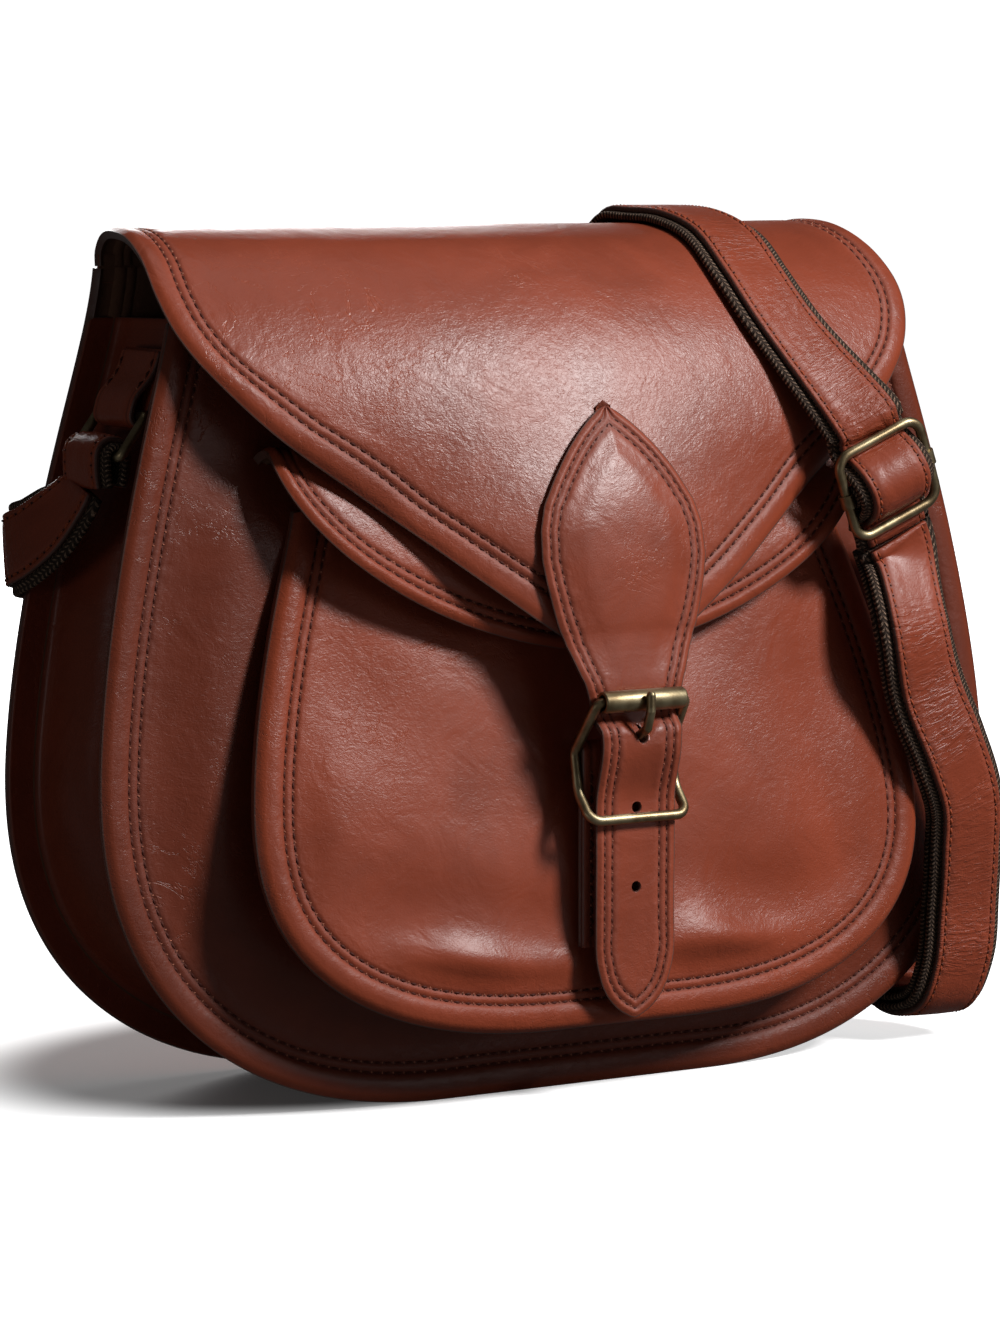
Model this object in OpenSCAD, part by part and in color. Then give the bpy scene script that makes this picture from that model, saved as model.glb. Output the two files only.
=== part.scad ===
// Crossbody saddle bag with a front pocket, a buckled flap and an adjustable shoulder strap.
// Millimetres. +X is the wearer's right, -Y is the front, +Z is up. The bag stands on z = 0.

/* [Body] */
// Width of the front and back panels
body_w = 282; // [240:1:320]
// Height at which the side taper is stated
body_h = 232; // [200:1:260]
// Height of the back panel, up to the flap's fold
back_h = 223; // [200:1:228]
// Height of the front panel
front_h = 210; // [190:1:211]
// Place of the front panel's outer face at its foot, behind zero
front_y = 20; // [12:1:30]
// Place of the back panel's outer face
back_y = 46; // [40:1:60]
// How far the front panel leans back, for each unit of height
front_lean_share = 0.076; // [0:0.002:0.1]
// Width of each bottom corner's curve
corner_w = 101; // [80:1:110]
// Height of each bottom corner's curve
corner_h = 86; // [60:1:100]
// Roundness of the bottom corners, 2 is an ellipse
corner_power = 2.28; // [1.9:0.02:2.8]
// How much each side draws in at the top
side_taper = 34.7; // [20:0.1:45]
// Curve of the sides
side_power = 1.6; // [1.2:0.1:2]
// Thickness of the panels' folded leather
panel_t = 2.6; // [2:0.1:3.4]
// Thickness of the gussets' leather
gusset_t = 1.8; // [1.2:0.1:2.4]
// Width of the sewn flange round the panels
seam_w = 10; // [7:0.5:12]

/* [Pocket] */
// Width of the pocket's panel
pocket_w = 210; // [180:1:230]
// Height of the pocket's lowest edge
pocket_base = 20; // [14:1:30]
// Height of the pocket's top edge
pocket_top = 160; // [150:1:164]
// Width of each bottom corner's curve on the pocket
pocket_corner_w = 90; // [70:1:95]
// Height of each bottom corner's curve on the pocket
pocket_corner_h = 57; // [45:1:70]
// How much each side of the pocket draws in at its top
pocket_taper = 28; // [15:1:35]
// Place of the pocket's face at its foot, in front of zero
pocket_y = 46; // [42:1:50]
// How far the pocket's face leans back, for each unit of height
pocket_lean_share = 0.2; // [0.16:0.01:0.22]
// How far the pocket's middle swells
pocket_crown = 5.6; // [3:0.1:6]
// Width of the pocket's sewn flange
pocket_seam_w = 9; // [6:0.5:10]

/* [Pocket lid] */
// Greatest width of the pocket's lid
lid_w = 186; // [160:1:190]
// Height of the lid's fold
lid_h = 174.7; // [172:0.1:176]
// Length of the lid below its fold
lid_drop = 54; // [46:1:56]
// Roundness of the lid's lower edge
lid_power = 1.7; // [1.5:0.1:2.2]
// Thickness of the lid
lid_t = 2.2; // [1.8:0.1:2.6]

/* [Flap] */
// Greatest width of the flap
flap_w = 236; // [220:1:250]
// Height of the flap's top
flap_h = 233.5; // [230:0.5:240]
// Distance from the flap's back to its tip, along Y
flap_reach = 92.5; // [90:0.5:95]
// Thickness of the flap's two layers
flap_t = 2.2; // [1.8:0.1:3]

/* [Closing strap] */
// Greatest width of the teardrop patch
patch_w = 52.4; // [44:0.1:58]
// Thickness of the patch where it lies on the flap
patch_t = 2; // [1.6:0.1:2.4]
// Width of the strap below the patch
closer_w = 24; // [20:0.5:25]
// Thickness of the free strap
closer_t = 3.4; // [2.8:0.1:3.4]
// Height of the strap's pointed end
closer_end = 24; // [20:1:34]
// Spacing of the strap's holes
hole_pitch = 20.2; // [18:0.1:24]
// Radius of the strap's round holes
hole_r = 1.5; // [1:0.1:2]

/* [Buckle] */
// Radius of the buckle's wire
wire_r = 1.4; // [1.2:0.05:1.5]
// Height of the buckle's centre bar
bar_z = 95; // [92:0.5:98]
// Distance of the centre bar in front of zero
bar_y = 41.8; // [41.6:0.1:42]
// Height of the roller above the centre bar
roller_rise = 14.2; // [13:0.1:15]
// Distance of the roller in front of the centre bar
roller_out = 10.2; // [10:0.1:11]
// Drop of the lower bar below the centre bar
keeper_drop = 16.8; // [15:0.1:18]
// Distance of the lower bar in front of the centre bar
keeper_out = 9.3; // [9.2:0.1:10]
// Outer radius of the roller
roller_r = 2.8; // [2.4:0.1:3]
// Width of the buckle's tab
tab_w = 28; // [24:0.5:28]
// Thickness of the tab's two layers
tab_t = 3.2; // [2.8:0.1:3.2]
// Height of the tab's lower end
tab_end = 42; // [38:1:46]
// Radius of each half of the snap
snap_r = 6.5; // [6:0.1:7]
// Height of the snap's middle
snap_z = 70; // [68:0.5:72]

/* [Side rings] */
// Radius of the rings' wire
ring_wire_r = 1.4; // [1.2:0.05:1.6]
// Outer width of a ring
ring_w = 30.5; // [30.5:0.1:32]
// Distance between a ring's two long bars
ring_l = 12.8; // [12:0.1:15]
// Slope of a ring below the horizontal
ring_slope = 54; // [45:1:60]
// Height of the rings' inner bars as a share of the body's height
ring_share = 0.7974; // [0.77:0.001:0.81]
// Place of the rings' middle
ring_y = 22; // [19:1:24]
// Width of the leather loops that hold the rings
chape_w = 22; // [18:0.5:23]
// Thickness of the loops' leather
chape_t = 2; // [1.6:0.1:2.2]

/* [Shoulder strap] */
// Width of the strap's leather face
strap_w = 20; // [16:0.5:22]
// Thickness of the strap's leather face
strap_t = 1.8; // [1.4:0.1:2]
// Width of the webbing under the leather
web_w = 24; // [22:0.5:24]
// Thickness of the webbing
web_t = 2.2; // [1.8:0.1:2.4]

/* [Slide] */
// Outer width of the slide's frame
slide_w = 31; // [31:0.1:33]
// Outer length of the slide's frame
slide_l = 28; // [27:0.5:30]
// Radius of the slide's wire
slide_wire_r = 1.4; // [1.2:0.05:1.5]
// Turn of the slide in the strap's plane
slide_turn = 24; // [18:1:28]
// Tilt of the slide, top towards the bag
slide_tilt = 8; // [6:1:12]

/* [Hidden] */

$fn = 32;
leather = "#8a4632";
leather_light = "#9c5540";
leather_dark = "#6e3626";
webbing = "#3a2a22";
antique_brass = "#8f7c4e";

overrun = 1;             // how far a cutting solid passes what it cuts
fit_gap = 0.08;          // running gap of a loop on its bar
part_gap = 0.3;          // gap between pieces that move apart
seat_gap = 0.15;         // gap under leather that lies on curved leather
layer_gap = 0.6;         // gap between the two runs of the doubled strap
corner_steps = 12;       // points on each bottom corner
side_steps = 9;          // points on each side

// Shapes of the panels: width, corner width, corner height, roundness, base, taper, top of the taper
body_shape = [body_w, corner_w, corner_h, corner_power, 0, side_taper, body_h];
pocket_shape = [pocket_w, pocket_corner_w, pocket_corner_h, 2.4, pocket_base, pocket_taper, lid_h];

// Taper of a side at the share q of its height: it steepens, then straightens near the top
function side_share(q) = pow(q, side_power) - 0.2 * pow(q, 10);

// Right edge of a panel, from its base to the height top, as [x, z]
function edge(s, top) = concat(
    [for (i = [0:corner_steps]) let (a = 90 * i / corner_steps)
        [s[0] / 2 - s[1] + s[1] * pow(sin(a), 2 / s[3]), s[4] + s[2] - s[2] * pow(cos(a), 2 / s[3])]],
    [for (i = [1:side_steps]) let (z = s[4] + s[2] + (top - s[4] - s[2]) * i / side_steps)
        [s[0] / 2 - s[5] * side_share((z - s[4] - s[2]) / (s[6] - s[4] - s[2])), z]]);

// Half-width of a panel at the height z
function half_w(s, z) = let (h = z - s[4])
    h < s[2] ? s[0] / 2 - s[1] + s[1] * pow(1 - pow(1 - h / s[2], s[3]), 1 / s[3])
             : s[0] / 2 - s[5] * side_share((h - s[2]) / (s[6] - s[4] - s[2]));

function unit(v) = v / norm(v);

// The same edge moved inwards by d, square to itself
function inset(p, d) = [for (i = [0:len(p) - 1])
    let (t = unit(i == 0 ? [1, 0] : p[min(i + 1, len(p) - 1)] - p[i - 1])) p[i] + d * [-t[1], t[0]]];

function both_sides(p) = concat(p, [for (i = [len(p) - 1:-1:0]) [-p[i][0], p[i][1]]]);

// Outline drawn in X and Z, carried through the whole depth
module through_y(points) {
    rotate([90, 0, 0]) linear_extrude(2 * body_w, center = true) polygon(both_sides(points));
}

// Plate between two parallel planes that lean back by lean for each unit of height
module leaning_plate(y, t, lean) {
    rotate([90, 0, 90]) linear_extrude(2 * body_w, center = true)
        polygon([[y, 0], [y + t, 0], [y + t + lean * body_h, body_h], [y + lean * body_h, body_h]]);
}

// Plate cut to an outline
module panel(points, y, t, lean) {
    intersection() {
        through_y(points);
        leaning_plate(y, t, lean);
    }
}

// Flat ring of the width w along an outline's edge
module flange(shape, top, w, y, t, lean) {
    difference() {
        panel(edge(shape, top), y, t, lean);
        through_y(inset(edge(shape, top + w), w));
    }
}

// Closed sheet between two grids of points that have the same rows and columns
module sheet(outer, inner) {
    r = len(outer);
    c = len(outer[0]);
    n = r * c;
    polyhedron(
        concat([for (row = outer) each row], [for (row = inner) each row]),
        concat(
            [for (i = [0:r - 2]) for (j = [0:c - 2]) let (a = i * c + j)
                each [[a, a + 1, a + c + 1], [a, a + c + 1, a + c]]],
            [for (i = [0:r - 2]) for (j = [0:c - 2]) let (a = n + i * c + j)
                each [[a + c + 1, a + 1, a], [a + c, a + c + 1, a]]],
            [for (j = [0:c - 2]) each [[j + 1, j, n + j], [j + 1, n + j, n + j + 1]]],
            [for (j = [0:c - 2]) let (a = (r - 1) * c + j) each [[a, a + 1, n + a], [a + 1, n + a + 1, n + a]]],
            [for (i = [0:r - 2]) let (a = i * c) each [[a, a + c, n + a], [a + c, n + a + c, n + a]]],
            [for (i = [0:r - 2]) let (a = i * c + c - 1) each [[a + c, a, n + a], [a + c, n + a, n + a + c]]]));
}

// Smooth curve through the rows of a table
function blend4(a, b, c, d, t) =
    0.5 * (2 * b + (c - a) * t + (2 * a - 5 * b + 4 * c - d) * t * t + (3 * b - a - 3 * c + d) * t * t * t);
function along(table, k) = let (n = len(table) - 1, i = min(n - 1, max(0, floor(k))))
    blend4(table[max(0, i - 1)], table[i], table[i + 1], table[min(n, i + 2)], k - i);

// Round bar from a to b
module bar(a, b, r) {
    d = b - a;
    translate(a) rotate([0, acos(d[2] / norm(d)), atan2(d[1], d[0])]) cylinder(r = r, h = norm(d));
}

// Bent wire through the points, round at each bend
module wire(points, r) {
    for (i = [0:len(points) - 2]) bar(points[i], points[i + 1], r);
    for (p = points) translate(p) sphere(r);
}

// Points round the bend at b, between a and c
function bend(a, b, c, r, steps = 4) = let (u = unit(a - b), v = unit(c - b), m = unit(u + v), half = acos(u * v) / 2)
    [for (i = [0:steps]) let (t = (90 - half) * (2 * i / steps - 1))
        b + r / sin(half) * m + r * (sin(t) * unit(v - u) - cos(t) * m)];

// Tube along a closed line of points, no part of which runs along Y
module closed_wire(points, r, sides = 14) {
    n = len(points);
    rings = [for (i = [0:n - 1])
        let (t = unit(points[(i + 1) % n] - points[(i + n - 1) % n]), a = unit(cross(t, [0, 1, 0])), b = cross(t, a))
        each [for (j = [0:sides - 1]) points[i] + r * (cos(360 * j / sides) * a + sin(360 * j / sides) * b)]];
    polyhedron(rings, [for (i = [0:n - 1]) for (j = [0:sides - 1])
        let (a = i * sides + j, b = i * sides + (j + 1) % sides, c = a + sides - (i < n - 1 ? 0 : n * sides),
             d = b + sides - (i < n - 1 ? 0 : n * sides))
        each [[a, d, b], [a, c, d]]]);
}

// Rounded rectangle of wire, flat in X and Y: outer sizes, centre-line radius of its corners, wire radius
module wire_loop(w, l, corner, r) {
    a = w / 2 - r;
    b = l / 2 - r;
    for (s = [-1, 1]) {
        bar([corner - a, s * b, 0], [a - corner, s * b, 0], r);
        bar([s * a, corner - b, 0], [s * a, b - corner, 0], r);
        translate([a - corner, s * (b - corner), 0]) rotate([0, 0, s > 0 ? 0 : -90])
            rotate_extrude(angle = 90) translate([corner, 0]) circle(r);
        translate([corner - a, s * (b - corner), 0]) rotate([0, 0, s > 0 ? 90 : 180])
            rotate_extrude(angle = 90) translate([corner, 0]) circle(r);
    }
}

// Planes of the body
front_foot = -front_y;
function front_at(z) = front_foot + front_lean_share * z;
back_inner = back_y - panel_t;

module front_panel() {
    color(leather) panel(edge(body_shape, front_h), front_foot, panel_t, front_lean_share);
}

module back_panel() {
    color(leather) panel(edge(body_shape, back_h), back_inner, panel_t, 0);
}

// Channel-shaped gusset: a strip round the sides and the bottom with a flange turned out at each end
module main_gusset() {
    strip = inset(edge(body_shape, body_h), seam_w);
    color(leather_dark) {
        intersection() {
            difference() {
                through_y(strip);
                through_y(inset(edge(body_shape, body_h + seam_w), seam_w + gusset_t));
            }
            rotate([90, 0, 90]) linear_extrude(body_w, center = true)
                polygon([[front_foot + panel_t, 0], [back_inner, 0], [back_inner, front_h],
                         [front_at(front_h) + panel_t, front_h]]);
        }
        flange(body_shape, front_h, seam_w + gusset_t, front_foot + panel_t, gusset_t, front_lean_share);
        flange(body_shape, front_h, seam_w + gusset_t, back_inner - gusset_t, gusset_t, 0);
    }
}

// Pocket
pocket_foot = -pocket_y;
function pocket_at(z) = pocket_foot + pocket_lean_share * z;

// Heights of the pocket panel's rows, and how far each row swells, as shares
pocket_rows_shares = [0, 0.03, 0.08, 0.15, 0.24, 0.35, 0.47, 0.6, 0.73, 0.87, 1];
pocket_cols = 12;
function pocket_swell(v, u) = pocket_crown * (1 - pow(abs(u), 2.4)) * pow(sin(180 * pow(v, 0.8)), 0.7);
function pocket_pt(v, u, depth) = let (z = pocket_base + v * (pocket_top - pocket_base))
    [u * half_w(pocket_shape, z), pocket_at(z) - pocket_swell(v, u) + depth, z];

module pocket_sheet() {
    sheet(
        [for (v = pocket_rows_shares) [for (j = [0:pocket_cols]) pocket_pt(v, 1 - 2 * j / pocket_cols, 0)]],
        [for (v = pocket_rows_shares) [for (j = [0:pocket_cols]) pocket_pt(v, 1 - 2 * j / pocket_cols, panel_t)]]);
}

module pocket_panel() {
    color(leather_light) pocket_sheet();
}

// Tapered gusset of the pocket, flange outwards under the panel and inwards on the body
module pocket_gusset() {
    color(leather_dark) {
        intersection() {
            difference() {
                through_y(inset(edge(pocket_shape, lid_h), pocket_seam_w));
                through_y(inset(edge(pocket_shape, lid_h + pocket_seam_w), pocket_seam_w + gusset_t));
            }
            rotate([90, 0, 90]) linear_extrude(body_w, center = true)
                polygon([[pocket_at(pocket_base) + panel_t, pocket_base], [front_at(pocket_base), pocket_base],
                         [front_at(pocket_top), pocket_top], [pocket_at(pocket_top) + panel_t, pocket_top]]);
        }
        flange(pocket_shape, pocket_top, pocket_seam_w + gusset_t, pocket_foot + panel_t, gusset_t,
               pocket_lean_share);
        intersection() {
            difference() {
                through_y(inset(edge(pocket_shape, pocket_top), pocket_seam_w));
                through_y(inset(edge(pocket_shape, pocket_top + seam_w), 2 * pocket_seam_w));
            }
            leaning_plate(front_foot - gusset_t, gusset_t, front_lean_share);
            translate([-body_w / 2, -body_w / 2, 0]) cube([body_w, body_w, pocket_top]);
        }
    }
}

// Lid of the pocket: places of its outer face as shares of its depth and drop, from the fold down
lid_depth = 27;
lid_rows_shares = [[0, 0], [0.13, -0.035], [0.3, -0.04], [0.46, 0.04], [0.585, 0.145], [0.7, 0.27], [0.8, 0.41],
                   [0.88, 0.55], [0.93, 0.7], [0.965, 0.84], [0.985, 0.94], [1, 1]];
lid_steps = 18;
lid_hinge_y = front_at(lid_h) - part_gap;
lid_cols = 8;
function lid_profile(k) = let (p = along(lid_rows_shares, k))
    [lid_hinge_y - p[0] * lid_depth, lid_h - p[1] * lid_drop];
function lid_half(z) = let (h = min(1, max(0, (lid_h - z) / lid_drop)))
    max(closer_w / 8, lid_w / 2 * pow(1 - pow(h, lid_power), 1 / lid_power));
function lid_row(k, depth) = let (a = lid_profile(max(0, k - 0.1)), b = lid_profile(k + 0.1), t = unit(b - a),
                                  p = lid_profile(k), q = p + depth * [-t[1], t[0]], w = lid_half(p[1]))
    [for (j = [0:lid_cols]) [(2 * j / lid_cols - 1) * w, q[0], q[1]]];

module pocket_lid() {
    last = len(lid_rows_shares) - 1;
    color(leather_light) sheet([for (i = [0:lid_steps]) lid_row(last * i / lid_steps, 0)],
                               [for (i = [0:lid_steps]) lid_row(last * i / lid_steps, lid_t)]);
}

// Flap
// Outer face at its side edges, as shares: forward reach, height, half-width
flap_side_shares = [
    [0, 0.957, 0.955], [0.001, 0.976, 0.955], [0.038, 0.9946, 0.955], [0.119, 1.001, 0.962],
    [0.259, 0.9945, 0.975], [0.4, 0.97, 0.99], [0.519, 0.929, 1], [0.605, 0.884, 0.979],
    [0.681, 0.835, 0.915], [0.746, 0.771, 0.788], [0.8, 0.702, 0.602], [0.865, 0.651, 0.466],
    [0.924, 0.6, 0.331], [0.962, 0.548, 0.186], [0.977, 0.51, 0.07]];
// Outer face on its centre line, as shares: forward reach, height
flap_mid_shares = [
    [0, 0.957], [0, 0.979], [0.032, 0.998], [0.13, 1.002], [0.292, 1], [0.465, 0.983], [0.605, 0.944],
    [0.714, 0.895], [0.789, 0.8415], [0.845, 0.784], [0.895, 0.7195], [0.928, 0.6617], [0.951, 0.608],
    [0.969, 0.5567], [0.978, 0.5118]];
flap_last = len(flap_side_shares) - 1;
flap_steps = 28;
flap_cols = 10;
flap_hinge_z = back_h + part_gap / 2;

function flap_half(k) = along(flap_side_shares, k)[2] * flap_w / 2;
// Outer face at the row k and the place x
function flap_pt(k, x) = let (s = along(flap_side_shares, k), m = along(flap_mid_shares, k),
                              u = min(1, abs(x) / flap_half(k)), g = 1 - u * u)
    [x, back_y - flap_reach * (s[0] + g * (m[0] - s[0])), flap_h * (s[1] + g * (m[1] - s[1]))];
// Outward direction there, square to the profile
function flap_out(k, x) = let (t = unit(flap_pt(min(flap_last, k + 0.1), x) - flap_pt(max(0, k - 0.1), x)))
    unit([0, t[2], -t[1]]);

// The same, square to the whole surface
function flap_normal(k, x) = unit(cross(flap_pt(min(flap_last, k + 0.1), x) - flap_pt(max(0, k - 0.1), x),
                                        flap_pt(k, x + 1) - flap_pt(k, x - 1)));

module flap() {
    rows = [for (i = [0:flap_steps]) flap_last * i / flap_steps];
    color(leather) sheet(
        [for (k = rows) [for (j = [0:flap_cols]) flap_pt(k, (2 * j / flap_cols - 1) * flap_half(k))]],
        [for (k = rows) [for (j = [0:flap_cols]) let (x = (2 * j / flap_cols - 1) * flap_half(k))
            flap_pt(k, x) - flap_t * flap_out(k, x)]]);
}

// Closing strap: a teardrop patch on the flap that runs on as a pointed strap
// Rows on the flap: row of the flap, half-width as a share of the patch's half-width
patch_rows_shares = [[8.8, 0.02], [9, 0.2], [9.3, 0.4], [9.6, 0.565], [10, 0.745], [10.5, 0.915], [11, 0.99],
                     [11.6, 1], [12.1, 0.955], [12.6, 0.89], [13, 0.83], [13.5, 0.745], [14, 0.665]];
// Free rows: height and forward place as shares of the centre bar's, half-width as a share of the strap's
free_rows_shares = [[1.244, 1.163, 1.4], [1.2, 1.163, 1.27], [1.147, 1.165, 1.13], [1.084, 1.17, 1.03],
                    [1.03, 1.175, 1], [0.97, 1.178, 1], [0.84, 1.18, 1], [0.63, 1.18, 1]];
// Pointed end: height as a share of its length, half-width as a share
point_rows_shares = [[1, 1], [0.72, 0.92], [0.44, 0.7], [0.22, 0.42], [0.08, 0.2], [0, 0.04]];
point_l = 17.5;
closer_cols = 6;
closer_face = 1.18 * bar_y;
function across(w) = [for (j = [0:closer_cols]) (2 * j / closer_cols - 1) * w];

module closing_strap() {
    outer = concat(
        [for (r = patch_rows_shares) [for (x = across(r[1] * patch_w / 2))
            flap_pt(r[0], x) + (seat_gap + patch_t) * flap_out(r[0], x)]],
        [for (r = free_rows_shares) [for (x = across(r[2] * closer_w / 2)) [x, -r[1] * bar_y, r[0] * bar_z]]],
        [for (r = point_rows_shares) [for (x = across(r[1] * closer_w / 2))
            [x, -closer_face, closer_end + r[0] * point_l]]]);
    inner = concat(
        [for (r = patch_rows_shares) [for (x = across(r[1] * patch_w / 2))
            flap_pt(r[0], x) + seat_gap * flap_out(r[0], x)]],
        [for (r = free_rows_shares) [for (x = across(r[2] * closer_w / 2))
            [x, closer_t - r[1] * bar_y, r[0] * bar_z]]],
        [for (r = point_rows_shares) [for (x = across(r[1] * closer_w / 2))
            [x, closer_t - closer_face, closer_end + r[0] * point_l]]]);
    color(leather_light) difference() {
        sheet(outer, inner);
        // long hole that the prong comes through, with room for its swing
        translate([0, -closer_face, bar_z + prong_rise - prong_slot / 4])
            cube([2 * prong_r + 4 * part_gap, 4 * closer_t, prong_slot], center = true);
        for (i = [1:2]) translate([0, 0, bar_z + prong_rise - i * hole_pitch]) rotate([90, 0, 0])
            cylinder(r = hole_r, h = body_w);
    }
}

// Buckle
prong_r = 1.25;
prong_rise = 4;
prong_slot = 8;
bar_at = [0, -bar_y, bar_z];
roller_at = [0, -bar_y - roller_out, bar_z + roller_rise];
keeper_at = [0, -bar_y - keeper_out, bar_z - keeper_drop];
closer_room = 0.5;
tab_room = 0.8;
top_half = closer_w / 2 + closer_room + wire_r;
mid_half = tab_w / 2 + tab_room + wire_r;
low_half = mid_half - wire_r;
// Radius of the wire's bends at the roller, the centre bar and the lower bar
frame_bends = [1.6 * wire_r, 2 * wire_r, 3.6 * wire_r];

// The frame's six bends, down the right side and up the left one
frame_corners = [[top_half, roller_at[1], roller_at[2]], [mid_half, bar_at[1], bar_at[2]],
                 [low_half, keeper_at[1], keeper_at[2]], [-low_half, keeper_at[1], keeper_at[2]],
                 [-mid_half, bar_at[1], bar_at[2]], [-top_half, roller_at[1], roller_at[2]]];
frame_line = [for (i = [0:5]) each bend(frame_corners[(i + 5) % 6], frame_corners[i], frame_corners[(i + 1) % 6],
                                        frame_bends[min(i, 5 - i)])];

module buckle_frame() {
    color(antique_brass) {
        closed_wire(frame_line, wire_r);
        bar([-mid_half, bar_at[1], bar_at[2]], [mid_half, bar_at[1], bar_at[2]], wire_r);
    }
}

roller_l = 2 * (top_half - frame_bends[0]);
module buckle_roller() {
    color(antique_brass) translate(roller_at) rotate([0, 90, 0]) difference() {
        cylinder(r = roller_r, h = roller_l, center = true);
        cylinder(r = wire_r + fit_gap, h = roller_l + overrun, center = true);
    }
}

prong_eye_r = wire_r + fit_gap + 1.3;
prong_tip_y = roller_at[1] - roller_r - prong_r - part_gap;
prong_path = [[0, prong_tip_y + 1.8, bar_z + prong_rise + 2.8], [0, prong_tip_y, roller_at[2] - 2.6],
              [0, prong_tip_y, roller_at[2] + 1.6]];
module buckle_prong() {
    color(antique_brass) {
        translate(bar_at) rotate([0, 90, 0]) difference() {
            cylinder(r = prong_eye_r, h = 2 * prong_r + part_gap, center = true);
            cylinder(r = wire_r + fit_gap, h = 4 * prong_r, center = true);
        }
        bar([0, -bar_y - prong_eye_r + 0.8, bar_z + 0.6], prong_path[0], prong_r);
        wire(prong_path, prong_r);
    }
}

tab_eye_r = wire_r + fit_gap + 1.7;
tab_back = -bar_y - tab_eye_r + tab_t;
module buckle_tab() {
    color(leather_dark) difference() {
        union() {
            translate(bar_at) rotate([0, 90, 0]) cylinder(r = tab_eye_r, h = tab_w, center = true);
            translate([-tab_w / 2, -bar_y - tab_eye_r, tab_end + tab_w / 4])
                cube([tab_w, tab_t, bar_z - tab_end - tab_w / 4]);
            // rounded lower end
            translate([0, tab_back, tab_end + tab_w / 4]) rotate([90, 0, 0])
                linear_extrude(tab_t) scale([1, 0.5]) circle(tab_w / 2);
        }
        translate(bar_at) rotate([0, 90, 0]) cylinder(r = wire_r + fit_gap, h = tab_w + overrun, center = true);
        // slot for the prong's eye and its swing
        translate([-prong_r - 2 * part_gap, -bar_y - 2 * tab_eye_r, bar_z - prong_eye_r - part_gap])
            cube([2 * prong_r + 4 * part_gap, 4 * tab_eye_r, 4 * tab_eye_r]);
    }
}

// Magnetic snap
snap_t = 2;
nub_r = 2;
nub_l = 0.8;
socket_r = 3.3;
snap_face = tab_back + snap_t;

module snap_male() {
    color(antique_brass) translate([0, tab_back, snap_z]) rotate([-90, 0, 0]) {
        cylinder(r = snap_r, h = snap_t);
        cylinder(r = nub_r, h = snap_t + nub_l);
    }
}

module snap_female() {
    color(antique_brass) difference() {
        translate([0, snap_face + part_gap, snap_z]) rotate([-90, 0, 0]) difference() {
            cylinder(r = snap_r, h = 2 * snap_t);
            translate([0, 0, -overrun]) cylinder(r = socket_r, h = nub_l + part_gap + overrun);
        }
        // seat against the pocket's face, and the room behind it
        translate([0, -seat_gap, 0]) pocket_sheet();
        translate([0, panel_t - 2 * seat_gap, 0]) pocket_sheet();
    }
}

// Side rings, each hung in a leather loop on the gusset
chape_l = 16;
ring_z = ring_share * body_h;
ring_eye_r = ring_wire_r + fit_gap;
ring_x = half_w(body_shape, ring_z) - seam_w + ring_eye_r + chape_t + 2 * part_gap;
ring_out = [cos(ring_slope), 0, -sin(ring_slope)];
ring_bar_at = [ring_x, ring_y, ring_z];
ring_outer_at = ring_bar_at + ring_l * ring_out;

ring_corner_r = 1.6;
module ring_right_wire() {
    translate(ring_bar_at) rotate([0, ring_slope, 0]) translate([ring_l / 2, 0, 0])
        wire_loop(ring_l + 2 * ring_wire_r, ring_w, ring_corner_r, ring_wire_r);
}

module ring_right() {
    color(antique_brass) ring_right_wire();
}

module ring_left() {
    color(antique_brass) mirror([1, 0, 0]) ring_right_wire();
}

side_lean = atan((half_w(body_shape, ring_z) - half_w(body_shape, front_h)) / (front_h - ring_z));
module chape_right_loop() {
    translate(ring_bar_at) rotate([0, -side_lean, 0]) difference() {
        union() {
            rotate([90, 0, 0]) cylinder(r = ring_eye_r + chape_t, h = chape_w, center = true);
            translate([-ring_eye_r - chape_t, -chape_w / 2, 0]) cube([chape_t, chape_w, chape_l]);
            translate([-ring_eye_r, -chape_w / 2, 0]) cube([ring_eye_r + chape_t, chape_w, ring_eye_r + chape_t]);
        }
        rotate([90, 0, 0]) cylinder(r = ring_eye_r, h = chape_w + overrun, center = true);
    }
}

module chape_right() {
    color(leather) chape_right_loop();
}

module chape_left() {
    color(leather) mirror([1, 0, 0]) chape_right_loop();
}

// Shoulder strap
// Rows of a run are [place, outward direction, direction along]; the place is on the webbing's outer face
run_cols = 6;
function run_edge(row, w, off) = let (s = unit(cross(row[1], row[2])), n = cross(row[2], s))
    [for (j = [0:run_cols]) row[0] + (j / run_cols - 0.5) * w * s + off * n];
module run(rows, w, low, high) {
    sheet([for (row = rows) run_edge(row, w, high)], [for (row = rows) run_edge(row, w, low)]);
}
module leather_run(rows) {
    color(leather_light) run(rows, strap_w, seat_gap, seat_gap + strap_t);
}
module webbing_run(rows) {
    color(webbing) run(rows, web_w, -web_t, 0);
}
module inner_run(rows) {
    color(webbing) run(rows, web_w, -2 * web_t - strap_t - layer_gap, -web_t - layer_gap);
}

// A smooth run through a route's rows, from row a to row b
function route_row(rows, k) = let (row = along(rows, k), last = len(rows) - 1)
    [row[0], row[1], unit(along(rows, min(last, k + 0.1))[0] - along(rows, max(0, k - 0.1))[0])];
function route(rows, a, b, steps) = [for (i = [0:steps]) route_row(rows, a + (b - a) * i / steps)];

// Places as shares of the body's half-width, its front or back face, and its height
function place(s) = [s[0] * body_w / 2, s[1] * back_y, s[2] * body_h];

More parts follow.
